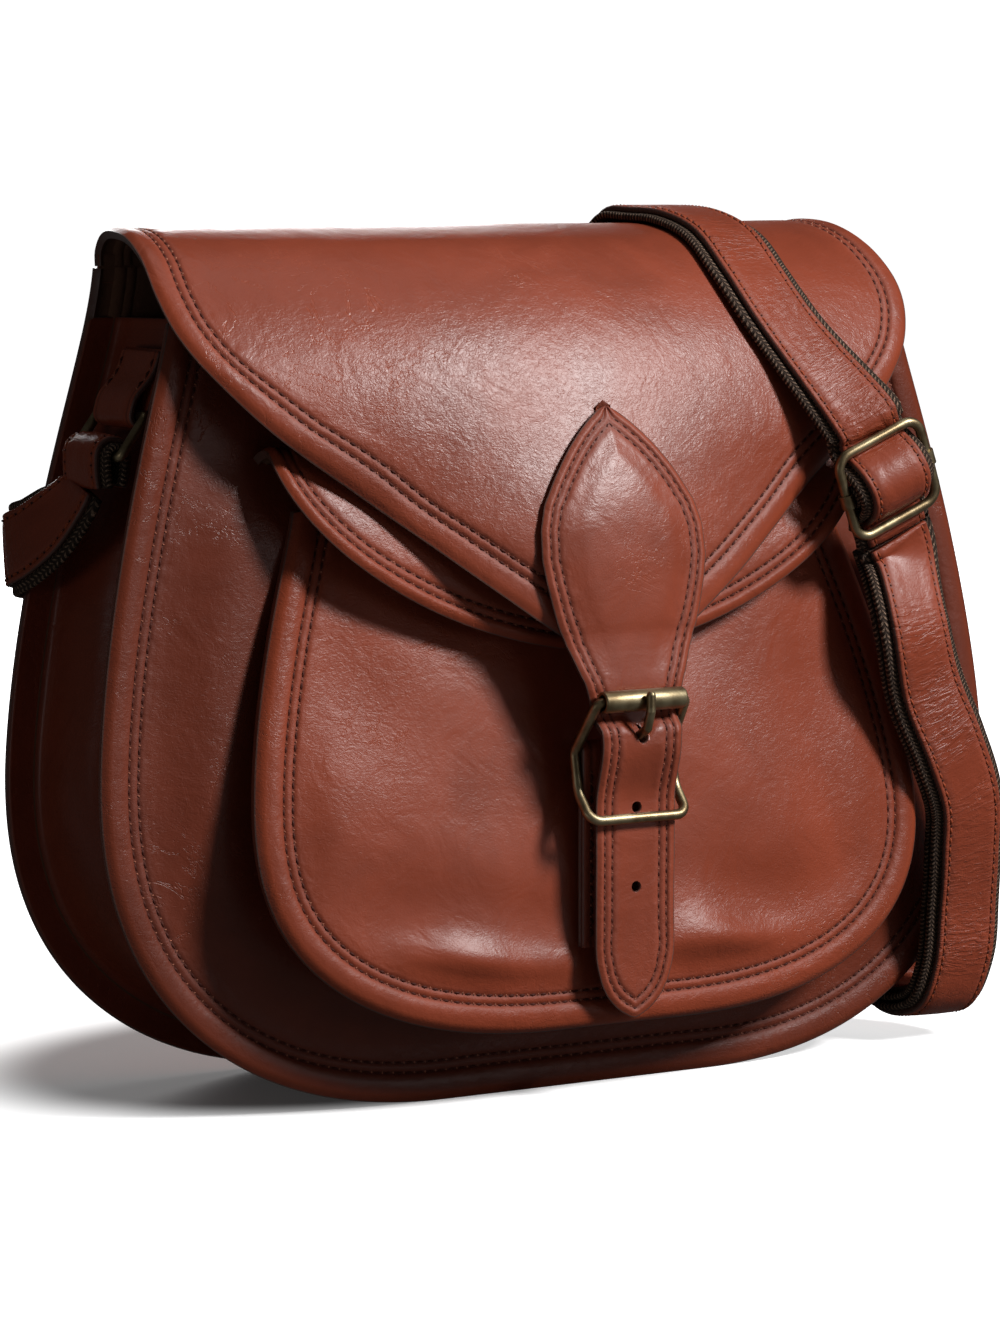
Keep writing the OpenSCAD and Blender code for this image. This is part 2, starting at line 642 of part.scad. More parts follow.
// From the left ring, round the back panel's edge and up behind the bag
back_route_shares = [
    [[-0.907, 0.522, 0.7175], [-0.9, 0, 0.43]], [[-0.915, 0.54, 0.706], [-0.92, 0, 0.35]],
    [[-0.948, 0.65, 0.676], [-0.96, -0.1, 0.2]], [[-0.974, 0.81, 0.652], [-0.99, -0.05, 0.1]],
    [[-0.983, 0.965, 0.64], [-0.98, 0.2, 0]], [[-0.951, 1.1, 0.634], [-0.75, 0.66, 0]],
    [[-0.879, 1.19, 0.627], [-0.3, 0.95, 0]], [[-0.766, 1.2, 0.612], [0, 1, 0]],
    [[-0.567, 1.17, 0.59], [0, 1, 0]], [[-0.319, 1.13, 0.595], [0, 1, 0]], [[-0.071, 1.12, 0.647], [0, 1, 0]],
    [[0.142, 1.105, 0.741], [0, 1, 0]], [[0.262, 1.09, 0.83], [0, 1, 0]], [[0.327, 1.07, 0.91], [0, 1, 0]]];
back_rows = concat([for (r = back_route_shares) [place(r[0]), r[1]]],
    [[[0.347 * body_w / 2, back_y + seat_gap + web_t, back_h - 2 * part_gap], [0, 1, 0]]]);
back_run = route(back_rows, 0, len(back_rows) - 1, 30);

module strap_back_leather() {
    leather_run(back_run);
}

module strap_back_webbing() {
    webbing_run(back_run);
}

// Over the flap: row of the flap, place across as a share of the flap's half-width, lift off the flap
front_route_shares = [[0.35, 0.418, 0], [1, 0.424, 0], [2, 0.44, 0], [3, 0.464, 0], [4, 0.487, 0], [5, 0.501, 0],
                      [6, 0.51, 0], [6.8, 0.536, 0], [7.6, 0.583, 0.14]];
slide_at = [0.624 * body_w / 2, -0.865 * back_y, 0.707 * body_h];

// Place in the slide's own axes: along its bar, up the strap, outwards
module in_slide() {
    translate(slide_at) rotate([slide_tilt, 0, 0]) rotate([90, 0, 0]) rotate([0, 0, slide_turn]) children();
}
function turn_x(p, a) = [p[0], p[1] * cos(a) - p[2] * sin(a), p[1] * sin(a) + p[2] * cos(a)];
function from_slide(u, v, w) = slide_at
    + turn_x([u * cos(slide_turn) - v * sin(slide_turn), -w, u * sin(slide_turn) + v * cos(slide_turn)], slide_tilt);
slide_out = turn_x([0, -1, 0], slide_tilt);

anchor_r = slide_wire_r + fit_gap + 1.8;
hump = anchor_r + seat_gap + web_t;
under = -slide_wire_r - part_gap - strap_t - seat_gap;
slide_corner_r = 3.2;
// Strap through the slide: up the strap as a share of the frame's length, height as shares of hump and under
slide_rows_shares = [[0.66, 0, 1.1], [0.5, 0, 1.16], [0.36, 0, 0.9], [0.2, 0.55, 0], [0, 1, 0], [-0.2, 0.55, 0],
                     [-0.36, 0, 0.9], [-0.5, 0, 1], [-0.62, 0, 1.05]];
front_rows = concat(
    [for (r = front_route_shares) let (x = r[1] * flap_w / 2, n = flap_normal(r[0], x))
        [flap_pt(r[0], x) + (part_gap + web_t + r[2] * flap_t) * n, n]],
    [for (r = slide_rows_shares) [from_slide(0, r[0] * slide_l, r[1] * hump + r[2] * under), slide_out]]);
front_run = route(front_rows, 0, len(front_rows) - 1, 40);

module strap_front_leather() {
    leather_run(front_run);
}

module strap_front_webbing() {
    webbing_run(front_run);
}

module slide_frame() {
    color(antique_brass) in_slide() wire_loop(slide_w, slide_l, slide_corner_r, slide_wire_r);
}

// Centre bar with a collar closed round each side of the frame
module slide_bar() {
    a = slide_w / 2 - slide_wire_r;
    collar_r = slide_wire_r + fit_gap + 0.6;
    collar_l = 4;
    color(antique_brass) in_slide() difference() {
        union() {
            bar([-a, 0, 0], [a, 0, 0], slide_wire_r);
            for (s = [-1, 1]) bar([s * a, -collar_l / 2, 0], [s * a, collar_l / 2, 0], collar_r);
        }
        for (s = [-1, 1]) bar([s * a, -collar_l, 0], [s * a, collar_l, 0], slide_wire_r + fit_gap);
    }
}

// End of the strap, sewn round the slide's centre bar
anchor_tail = 12;
anchor_slope = 26;
module strap_anchor() {
    color(webbing) in_slide() rotate([90, 0, 90]) linear_extrude(web_w, center = true) difference() {
        union() {
            circle(anchor_r);
            rotate(anchor_slope) translate([-anchor_tail, seat_gap - anchor_r])
                square([anchor_tail, web_t - seat_gap]);
        }
        circle(slide_wire_r + fit_gap);
    }
}

// Doubled strap from the slide down to the floor and up to the right ring
drop_route_shares = [
    [[0.702, -0.85, 0.53], [0.1, -1, 0.05]], [[0.738, -0.83, 0.453], [0, -1, 0]],
    [[0.796, -0.83, 0.379], [0, -1, 0]], [[0.849, -0.785, 0.31], [0, -1, 0]], [[0.869, -0.705, 0.241], [0, -1, 0]],
    [[0.88, -0.635, 0.177], [0, -1, 0]], [[0.884, -0.58, 0.107], [0, -0.93, -0.37]],
    [[0.876, -0.455, 0.051], [0, -0.72, -0.69]], [[0.867, -0.23, 0.036], [0, 0, -1]],
    [[0.87, 0.01, 0.047], [0.15, 0.55, -0.82]], [[0.885, 0.13, 0.083], [0.5, 0.7, -0.5]],
    [[0.91, 0.2, 0.14], [0.85, 0.4, -0.3]], [[0.94, 0.228, 0.207], [0.97, 0.05, -0.2]],
    [[0.968, 0.239, 0.28], [1, 0, -0.1]], [[0.981, 0.261, 0.366], [1, 0, 0]], [[0.969, 0.304, 0.474], [1, 0, 0.1]],
    [[0.935, 0.39, 0.603], [0.97, 0, 0.2]], [[0.903, 0.46, 0.69], [0.96, 0, 0.28]],
    [[0.896, 0.478, 0.712], [0.95, 0, 0.3]]];
drop_rows = concat([for (v = [0.68, 0.92]) [from_slide(0, -v * slide_l, 1.12 * under), slide_out]],
    [for (r = drop_route_shares) [place(r[0]), r[1]]]);
drop_last = len(drop_rows) - 1;
turn_from = 10;           // row at the lowest point, where the drop ends
rise_from = 16;          // row half-way up the rear run
end_share = 0.04;        // part of a row left open between two runs
drop_run = route(drop_rows, end_share, turn_from - end_share, 18);
drop_inner_run = concat([[from_slide(0, -0.46 * slide_l, 1.1 * under), slide_out, drop_run[0][2]]], drop_run);
turn_run = route(drop_rows, turn_from + end_share, rise_from - end_share, 14);
rise_run = route(drop_rows, rise_from + end_share, drop_last, 8);

module strap_drop_leather() {
    leather_run(drop_run);
}

module strap_drop_webbing() {
    webbing_run(drop_run);
}

module strap_drop_inner() {
    inner_run(drop_inner_run);
}

module strap_turn_leather() {
    leather_run(turn_run);
}

module strap_turn_webbing() {
    webbing_run(turn_run);
}

module strap_turn_inner() {
    inner_run(turn_run);
}

module strap_rise_leather() {
    leather_run(rise_run);
}

module strap_rise_webbing() {
    webbing_run(rise_run);
}

module strap_rise_inner() {
    inner_run(rise_run);
}

// Loop of strap round a ring's outer bar
module ring_loop_right() {
    translate(ring_outer_at) rotate([90, 0, 0]) difference() {
        cylinder(r = ring_eye_r + web_t, h = web_w, center = true);
        cylinder(r = ring_eye_r, h = web_w + overrun, center = true);
    }
}

module strap_ring_loop_right() {
    color(webbing) ring_loop_right();
}

module strap_ring_loop_left() {
    color(webbing) mirror([1, 0, 0]) ring_loop_right();
}

front_panel();
back_panel();
main_gusset();
pocket_panel();
pocket_gusset();
pocket_lid();
flap();
closing_strap();
buckle_frame();
buckle_roller();
buckle_prong();
buckle_tab();
snap_male();
snap_female();
chape_left();
chape_right();
ring_left();
ring_right();
slide_frame();
slide_bar();
strap_anchor();
strap_ring_loop_left();
strap_ring_loop_right();
strap_back_leather();
strap_back_webbing();
strap_front_leather();
strap_front_webbing();
strap_drop_leather();
strap_drop_webbing();
strap_drop_inner();
strap_turn_leather();
strap_turn_webbing();
strap_turn_inner();
strap_rise_leather();
strap_rise_webbing();
strap_rise_inner();
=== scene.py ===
"""Leather crossbody bag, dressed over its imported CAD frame. Sizes are in millimetres until a mesh is made."""

import bmesh
import bpy
import numpy as np
from mathutils import Matrix, Vector


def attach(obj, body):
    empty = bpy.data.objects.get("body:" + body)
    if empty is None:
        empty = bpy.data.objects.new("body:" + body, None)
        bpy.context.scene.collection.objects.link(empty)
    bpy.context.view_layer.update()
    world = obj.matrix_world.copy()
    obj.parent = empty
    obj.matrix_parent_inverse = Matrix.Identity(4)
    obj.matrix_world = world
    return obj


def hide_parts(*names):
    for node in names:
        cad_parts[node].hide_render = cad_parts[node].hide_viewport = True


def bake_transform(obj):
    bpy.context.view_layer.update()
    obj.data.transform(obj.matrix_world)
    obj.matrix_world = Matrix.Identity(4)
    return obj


bl_info = {
    "name": "Leather Crossbody Bag",
    "version": (1, 0, 0),
    "blender": (4, 5, 0),
    "location": "3D View > Sidebar > Bag",
    "description": "Makes a saddle-shaped leather bag with a flap, a pocket, a buckle and a shoulder strap",
    "category": "Add Mesh",
}

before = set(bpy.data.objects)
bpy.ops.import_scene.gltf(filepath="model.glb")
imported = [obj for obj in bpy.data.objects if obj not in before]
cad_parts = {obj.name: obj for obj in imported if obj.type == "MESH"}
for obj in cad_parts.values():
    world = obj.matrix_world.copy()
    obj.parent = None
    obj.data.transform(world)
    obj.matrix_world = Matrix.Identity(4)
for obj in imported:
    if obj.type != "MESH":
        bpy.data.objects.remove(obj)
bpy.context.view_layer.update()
MM = 0.001

# The body, as in the CAD: width, corner width and height, roundness, base, taper, top of the taper
BODY = dict(w=282.0, cw=101.0, ch=86.0, power=2.28, base=0.0, taper=34.7, top=232.0)
HALF_W, BODY_H = BODY["w"] / 2, BODY["top"]
POCKET = dict(w=210.0, cw=90.0, ch=57.0, power=2.4, base=20.0, taper=28.0, top=174.7)
SIDE_POWER = 1.6
FRONT_H, BACK_H, BACK_Y = 210.0, 223.0, 46.0
FRONT_Y, FRONT_LEAN = -20.0, 0.076
POCKET_Y, POCKET_LEAN, POCKET_TOP, POCKET_CROWN = -46.0, 0.2, 160.0, 5.6
PANEL_T, POCKET_T, GUSSET_T = 2.6, 2.4, 1.8
SEAM_W, POCKET_SEAM_W = 10.0, 9.0

# Flap: rows of forward reach, height and half-width, as shares of the three sizes
FLAP_W, FLAP_H, FLAP_REACH, FLAP_T = 236.0, 233.5, 92.5, 2.2
FLAP_SIDE = np.array([
    [0, 0.957, 0.955], [0.001, 0.976, 0.955], [0.038, 0.9946, 0.955], [0.119, 1.001, 0.962],
    [0.259, 0.9945, 0.975], [0.4, 0.97, 0.99], [0.519, 0.929, 1], [0.605, 0.884, 0.979],
    [0.681, 0.835, 0.915], [0.746, 0.771, 0.788], [0.8, 0.702, 0.602], [0.865, 0.651, 0.466],
    [0.924, 0.6, 0.331], [0.962, 0.548, 0.186], [0.977, 0.51, 0.07]])
FLAP_MID = np.array([
    [0, 0.957], [0, 0.979], [0.032, 0.998], [0.13, 1.002], [0.292, 1], [0.465, 0.983], [0.605, 0.944],
    [0.714, 0.895], [0.789, 0.8415], [0.845, 0.784], [0.895, 0.7195], [0.928, 0.6617], [0.951, 0.608],
    [0.969, 0.5567], [0.978, 0.5118]])
FLAP_LAST = len(FLAP_SIDE) - 1

# Lid: rows of depth and drop, as shares
LID_W, LID_H, LID_DROP, LID_POWER, LID_DEPTH, LID_T = 186.0, 174.7, 54.0, 1.7, 27.0, 2.2
LID_ROWS = np.array([[0, 0], [0.13, -0.035], [0.3, -0.04], [0.46, 0.04], [0.585, 0.145], [0.7, 0.27], [0.8, 0.41],
                     [0.88, 0.55], [0.93, 0.7], [0.965, 0.84], [0.985, 0.94], [1, 1]])
LID_Y = FRONT_Y + FRONT_LEAN * LID_H - 0.3

# Buckle: its centre bar and wire, then each bend's place across, forward of the bar and above it, and its radius
BAR_Y, BAR_Z, BAR_HALF, WIRE_R = -41.8, 95.0, 15.4, 1.4
BUCKLE_BENDS = [[13.9, 10.2, 14.2, 2.24], [15.2, 0.4, 0, 2.8], [15.3, 2.6, -10.5, 9], [15.3, 8.9, -17.6, 3.6]]
# Roller's tube: places along it and radii, round its section
ROLLER = [[-11.6, 1.9], [-12.5, 1.95], [-12.75, 2.3], [-12.7, 2.75], [-12.3, 2.95], [12.3, 2.95], [12.7, 2.75],
          [12.75, 2.3], [12.5, 1.95], [11.6, 1.9], [-11.6, 1.9]]

# Closing strap: rows on the flap as flap row and half-width, then free rows as height, place and half-width, then
# the rows of its point as height and half-width, all but the flap rows as shares
PATCH_W, PATCH_T, CLOSER_W, CLOSER_T, CLOSER_SEAMS = 52.4, 2.0, 24.8, 2.1, (2.6, 5.0)
PATCH_ROWS = [[8.8, 0.02], [9, 0.2], [9.3, 0.4], [9.6, 0.565], [10, 0.745], [10.5, 0.915], [11, 0.99], [11.6, 1],
              [12.1, 0.955], [12.6, 0.89], [13, 0.83], [13.4, 0.76]]
FREE_ROWS = [[1.2, 1.165, 1.25], [1.147, 1.165, 1.13], [1.084, 1.17, 1.03], [1.03, 1.175, 1],
             [0.97, 1.178, 1], [0.84, 1.18, 1], [0.63, 1.18, 1]]
POINT_ROWS = [[1, 1], [0.75, 0.96], [0.5, 0.85], [0.3, 0.68], [0.14, 0.43], [0.05, 0.2], [0, 0.04]]
CLOSER_END, POINT_L = 23.0, 19.5
HOLES_Z = (80.1, 58.6)

# Shoulder strap: places as shares of half the body's width, its back face and its height, with outward directions
STRAP_W, STRAP_T, WEB_W, WEB_T, LAYER_GAP = 19.6, 1.8, 25.0, 2.2, 0.6
STRAP_SEAM = STRAP_W / 2 - 1.9
STRAP_STITCH = dict(pitch=3.0, wide=0.8, high=0.42)
BACK_ROUTE = [
    [[-0.907, 0.522, 0.7175], [-0.9, 0, 0.43]], [[-0.915, 0.54, 0.706], [-0.92, 0, 0.35]],
    [[-0.948, 0.65, 0.676], [-0.96, -0.1, 0.2]], [[-0.974, 0.81, 0.652], [-0.99, -0.05, 0.1]],
    [[-0.983, 0.965, 0.64], [-0.98, 0.2, 0]], [[-0.951, 1.1, 0.634], [-0.75, 0.66, 0]],
    [[-0.879, 1.19, 0.627], [-0.3, 0.95, 0]], [[-0.766, 1.2, 0.612], [0, 1, 0]], [[-0.567, 1.17, 0.59], [0, 1, 0]],
    [[-0.319, 1.13, 0.595], [0, 1, 0]], [[-0.071, 1.12, 0.647], [0, 1, 0]], [[0.142, 1.105, 0.741], [0, 1, 0]],
    [[0.284, 1.09, 0.83], [0, 1, 0]], [[0.353, 1.07, 0.91], [0, 1, 0]]]
FRONT_ROUTE = [[0.35, 0.462, 0], [1, 0.472, 0], [2, 0.488, 0], [3, 0.507, 0], [4, 0.523, 0], [5, 0.528, 0],
               [6, 0.53, 0], [6.8, 0.55, 0], [7.6, 0.59, 0.14]]
DROP_ROUTE = [
    [[0.702, -0.85, 0.53], [0.1, -1, 0.05]], [[0.738, -0.83, 0.453], [0, -1, 0]], [[0.796, -0.83, 0.379], [0, -1, 0]],
    [[0.849, -0.785, 0.31], [0, -1, 0]], [[0.869, -0.705, 0.241], [0, -1, 0]], [[0.88, -0.635, 0.177], [0, -1, 0]],
    [[0.884, -0.58, 0.107], [0, -0.93, -0.37]], [[0.876, -0.455, 0.051], [0, -0.72, -0.69]],
    [[0.867, -0.23, 0.036], [0, 0, -1]], [[0.87, 0.01, 0.047], [0.15, 0.55, -0.82]],
    [[0.885, 0.13, 0.083], [0.5, 0.7, -0.5]], [[0.91, 0.2, 0.14], [0.85, 0.4, -0.3]],
    [[0.94, 0.228, 0.207], [0.97, 0.05, -0.2]], [[0.968, 0.239, 0.28], [1, 0, -0.1]], [[0.981, 0.261, 0.366], [1, 0, 0]],
    [[0.969, 0.304, 0.474], [1, 0, 0.1]], [[0.935, 0.39, 0.603], [0.97, 0, 0.2]], [[0.903, 0.46, 0.69], [0.96, 0, 0.28]],
    [[0.896, 0.478, 0.712], [0.95, 0, 0.3]]]
TURN_FROM, RISE_FROM = 10, 16
SLIDE_AT = np.array([0.624 * HALF_W, -0.865 * BACK_Y, 0.707 * BODY_H])
SLIDE_W, SLIDE_L, SLIDE_WIRE_R, SLIDE_TURN, SLIDE_TILT = 31.0, 28.0, 1.4, 24.0, 8.0
ANCHOR_R = SLIDE_WIRE_R + 0.08 + 1.8
HUMP, UNDER = ANCHOR_R + 0.15 + WEB_T, -SLIDE_WIRE_R - 0.3 - STRAP_T - 0.15
SLIDE_ROWS = [[0.66, 0, 1.1], [0.5, 0, 1.16], [0.36, 0, 0.9], [0.2, 0.55, 0], [0, 1, 0], [-0.2, 0.55, 0], [-0.36, 0, 0.9],
              [-0.5, 0, 1], [-0.62, 0, 1.05]]
RING_Y, RING_Z, RING_L, RING_SLOPE, RING_EYE_R, RING_ROOM = 22.0, 185.0, 12.8, 54.0, 1.48, 0.6
CHAPE_W, CHAPE_T = 22.0, 2.0


# Numbers

def unit(v):
    """Each vector of an array divided by its length."""
    return v / np.maximum(np.linalg.norm(v, axis=-1, keepdims=True), 1e-9)


def smooth(a, b, x):
    """0 before a, 1 after b, and 3q^2 - 2q^3 between them, where q runs from 0 at a to 1 at b."""
    q = np.clip((np.asarray(x, float) - a) / (b - a), 0, 1)
    return q * q * (3 - 2 * q)


def spline(table, k):
    """Catmull-Rom curve through the rows of a table, read at the row numbers k."""
    table, k = np.asarray(table, float), np.asarray(k, float)
    last = len(table) - 1
    i = np.clip(np.floor(k).astype(int), 0, last - 1)
    t = (k - i).reshape(k.shape + (1,) * (table.ndim - 1))
    a, b, c, d = (table[np.clip(i + j, 0, last)] for j in (-1, 0, 1, 2))
    return 0.5 * (2 * b + (c - a) * t + (2 * a - 5 * b + 4 * c - d) * t ** 2 + (3 * b - a - 3 * c + d) * t ** 3)


def lengths(points):
    """Distance along a polyline at each of its points."""
    return np.concatenate([[0], np.cumsum(np.linalg.norm(np.diff(points, axis=0), axis=1))])


def resample(points, step):
    """The same polyline with points about step apart."""
    at = lengths(points)
    to = np.linspace(0, at[-1], max(2, int(round(at[-1] / step)) + 1))
    return np.stack([np.interp(to, at, points[:, j]) for j in range(points.shape[1])], axis=1)


def ripple(p, size, seed):
    """Smooth random field from -1 to 1: the mean of seven sine waves of about the given size in random directions."""
    rng = np.random.default_rng(seed)
    ways = unit(rng.normal(size=(7, 3))) / (size * rng.uniform(0.6, 1.6, size=(7, 1)))
    return np.sin(2 * np.pi * (p @ ways.T) + rng.uniform(0, 6.28, 7)).mean(axis=-1) * 1.6


# Forms of the bag

def half_width(shape, z):
    """Half-width at the height z: a superellipse at the corner, then a side that draws in by q^1.6 - 0.2 q^10."""
    h = np.asarray(z, float) - shape["base"]
    low = np.clip(1 - h / shape["ch"], 0, 1)
    corner = shape["w"] / 2 - shape["cw"] + shape["cw"] * (1 - low ** shape["power"]) ** (1 / shape["power"])
    up = np.clip((h - shape["ch"]) / (shape["top"] - shape["base"] - shape["ch"]), 0, None)
    return np.where(h < shape["ch"], corner, shape["w"] / 2 - shape["taper"] * (up ** SIDE_POWER - 0.2 * up ** 10))


def half_outline(shape, top):
    """Right edge of a panel as (half-width, distance below its top), from the top to the middle of the base."""
    a = np.radians(np.linspace(90, 0, 60))
    side = np.linspace(top, shape["base"] + shape["ch"], 60)
    corner_x = shape["w"] / 2 - shape["cw"] + shape["cw"] * np.sin(a) ** (2 / shape["power"])
    corner_z = shape["base"] + shape["ch"] - shape["ch"] * np.cos(a) ** (2 / shape["power"])
    x = np.concatenate([half_width(shape, side), corner_x[1:], [0]])
    z = np.concatenate([side, corner_z[1:], [shape["base"]]])
    return np.stack([x, top - z], axis=1)


def flap_half(k):
    """Half-width of the flap at its row k."""
    return spline(FLAP_SIDE, k)[..., 2] * FLAP_W / 2


def flap_point(k, x):
    """Flap's outer face at row k and place x: the side profile blended to the middle one by 1 - u^2."""
    side, mid = spline(FLAP_SIDE, k), spline(FLAP_MID, k)
    g = 1 - np.clip(np.abs(x) / flap_half(k), 0, 1) ** 2
    y = BACK_Y - FLAP_REACH * (side[..., 0] + g * (mid[..., 0] - side[..., 0]))
    return np.stack([x + 0 * y, y, FLAP_H * (side[..., 1] + g * (mid[..., 1] - side[..., 1]))], axis=-1)


def flap_normal(k, x):
    """Outward direction of the flap: the cross product of its two slopes."""
    k = np.asarray(k, float)
    down = flap_point(np.minimum(k + 0.1, FLAP_LAST), x) - flap_point(np.maximum(k - 0.1, 0), x)
    return unit(np.cross(down, flap_point(k, x + 1) - flap_point(k, x - 1)))


def flap_press(p):
    """How far the padding under the closing strap presses the flap out at the points p."""
    return 2.6 * np.exp(-(((p[..., 0] + 14) / 42) ** 2 + ((p[..., 2] - 153) / 20) ** 2))


FLAP_K = np.linspace(0, FLAP_LAST, 281)
FLAP_LEN = lengths(flap_point(FLAP_K, np.zeros(281)))
LID_K = np.linspace(0, len(LID_ROWS) - 1, 221)
LID_LEN = lengths(spline(LID_ROWS, LID_K) * (LID_DEPTH, LID_DROP))


def lid_half(k):
    """Half-width of the lid at its row k: a superellipse of its drop."""
    h = np.clip(spline(LID_ROWS, k)[..., 1], 0, 1)
    return np.maximum(3, LID_W / 2 * (1 - h ** LID_POWER) ** (1 / LID_POWER))


def closer_table():
    """Rows of the closing strap at 25 places across: positions, half-widths and lengths from its tip."""
    across = np.linspace(-1, 1, 25)
    rows, halves = [], []
    for k, share in PATCH_ROWS:
        x = across * share * PATCH_W / 2
        p = flap_point(np.full(25, k), x)
        rows.append(p + (0.15 + PATCH_T + flap_press(p))[:, None] * flap_normal(np.full(25, k), x))
        halves.append(share * PATCH_W / 2)
    for z, y, share in FREE_ROWS + [[(CLOSER_END + z * POINT_L) / BAR_Z, 1.18, share] for z, share in POINT_ROWS]:
        x = across * share * CLOSER_W / 2
        rows.append(np.stack([x, np.full(25, y * BAR_Y), np.full(25, z * BAR_Z)], axis=1))
        halves.append(share * CLOSER_W / 2)
    rows, halves = np.array(rows), np.array(halves)
    k = np.linspace(0, len(rows) - 1, 400)
    dense, half = spline(rows, k), np.interp(k, np.arange(len(rows)), halves)
    return dense, half, lengths(dense[:, 12])


CLOSER_ROWS, CLOSER_HALF, CLOSER_LEN = closer_table()


class Panel:
    """A piece of leather cut to an outline. half is its right edge as (x, l), l being the length below its upper end;
    lift(x, l) gives its outer face in space; seams are the distances of its stitch rows from the edge; bulge(p, d)
    is how far it stands out at the points p, at the distances d from the edge.
    Its grid runs along the whole edge one way, and the other way from the edge to a spine on the middle line."""

    def __init__(self, half, lift, seams, bulge, spine, out=(0, -1, 0), step=1.7, turned=0.6, welt=0.6):
        right = resample(half, step)
        self.edge = np.concatenate([right * (-1, 1), right[::-1][1:]])
        at = lengths(self.edge)
        tangent = unit(np.gradient(self.edge, axis=0))
        self.inward = np.stack([tangent[:, 1], -tangent[:, 0]], axis=1)
        from_end = np.minimum(at, at[-1] - at)
        first = np.interp(spine[0], half[:, 1], lengths(half)) if spine[0] > 0 else 0.0
        q = np.clip((from_end - first) / max(at[-1] / 2 - first, 1e-6), 0, 1)
        spine_l = np.where(self.edge[:, 1] < spine[0], self.edge[:, 1], spine[0] + (spine[1] - spine[0]) * q)
        if spine[0] <= 0:
            spine_l = spine[1] * q - spine[0] * (1 - q)
        self.ray = np.stack([-self.edge[:, 0], spine_l - self.edge[:, 1]], axis=1)
        self.reach = np.maximum((self.ray * self.inward).sum(axis=1), 4.0)
        self.lift, self.seams, self.bulge, self.turned, self.welt = lift, seams, bulge, turned, welt
        self.out = np.array(out, float)

    def relief(self, d):
        """Height over the plain face at the distance d from the edge: a turned edge that falls away, a padded welt
        in half a sine wave up to the first stitches, and a bell-shaped groove along each row."""
        h = -self.turned * (1 - smooth(0, 2.2, d))
        h = h + self.welt * np.sin(np.pi * np.clip(d / self.seams[0], 0, 1)) ** 0.8
        for s in self.seams:
            h = h - 0.42 * np.exp(-((d - s) / 0.62) ** 2)
        return h

    def face(self, x, l, d):
        """Points of the finished face and their outward directions."""
        e = 0.25
        p = self.lift(x, l)
        n = unit(np.cross(self.lift(x + e, l) - self.lift(x - e, l), self.lift(x, l + e) - self.lift(x, l - e)))
        middle = n.reshape(-1, 3).mean(axis=0) @ self.out
        n = n if middle > 0 else -n
        h = self.relief(d) + self.bulge(p, d)
        return p + n * h[..., None], n

    def at_distance(self, d):
        """Places (x, l) at the distance d in from the whole edge."""
        f = np.minimum(d / self.reach, 0.94)
        return self.edge + f[:, None] * self.ray

    def grid(self, inner=26):
        """Places and distances of the whole grid: rings near the edge and the stitches, then even steps to the spine."""
        rings = {0, 0.35, 0.8, 1.5, 2.3} | {k * self.seams[0] for k in (0.35, 0.5, 0.65) if self.seams[0] > 5}
        for s in self.seams:
            rings |= {s - 1.3, s - 0.7, s - 0.35, s, s + 0.35, s + 0.7, s + 1.3}
        rings = np.array(sorted(r for r in rings if r >= 0))
        f_edge = np.minimum(rings[None] / self.reach[:, None], 0.55 * np.linspace(0, 1, len(rings))[None] + 0.02)
        f_edge[:, 0] = 0
        share = np.linspace(0, 1, inner + 1)[1:]
        f = np.concatenate([f_edge, f_edge[:, -1:] + (1 - f_edge[:, -1:]) * share], axis=1)
        place = self.edge[:, None] + f[..., None] * self.ray[:, None]
        return place, f * self.reach[:, None]


# Meshes

def mesh_object(name, points, faces, values=None, uv=None):
    """Object at the origin from points in millimetres, with float attributes and a UV map given at its points."""
    mesh = bpy.data.meshes.new(name)
    mesh.from_pydata((np.asarray(points) * MM).tolist(), [], faces)
    for key, value in (values or {}).items():
        mesh.attributes.new(key, "FLOAT", "POINT").data.foreach_set("value", np.asarray(value, np.float32).ravel())
    if uv is not None:
        corner = np.empty(len(mesh.loops), np.int32)
        mesh.loops.foreach_get("vertex_index", corner)
        layer = mesh.uv_layers.new(name="UVMap")
        layer.data.foreach_set("uv", np.asarray(uv, np.float32)[corner].ravel())
    mesh.polygons.foreach_set("use_smooth", np.ones(len(mesh.polygons), bool))
    mesh.update()
    obj = bpy.data.objects.new(name, mesh)
    bpy.context.scene.collection.objects.link(obj)
    return obj


def grid_faces(rows, cols, round_cols=False):
    """Quads of a grid of points, the last column joined to the first where round_cols is true."""
    i, j = np.meshgrid(np.arange(rows - 1), np.arange(cols if round_cols else cols - 1), indexing="ij")
    a, b = i * cols + j, i * cols + (j + 1) % cols
    return np.stack([a, b, b + cols, a + cols], axis=-1).reshape(-1, 4).tolist()


def tidy(obj, merge=0.02, outward=None):
    """Merges doubled points and drops faces without area; outward turns the faces to agree with a direction."""
    b = bmesh.new()
    b.from_mesh(obj.data)
    bmesh.ops.remove_doubles(b, verts=b.verts, dist=merge * MM)
    bmesh.ops.dissolve_degenerate(b, edges=b.edges, dist=0.002 * MM)
    if outward is not None:
        total = sum((f.normal * f.calc_area() for f in b.faces), Vector())
        if total.dot(Vector(outward)) < 0:
            bmesh.ops.reverse_faces(b, faces=b.faces)
    b.to_mesh(obj.data)
    b.free()
    return obj


def face_outwards(obj):
    """Turns the faces of a closed mesh outwards."""
    b = bmesh.new()
    b.from_mesh(obj.data)
    bmesh.ops.recalc_face_normals(b, faces=b.faces)
    b.to_mesh(obj.data)
    b.free()
    return obj


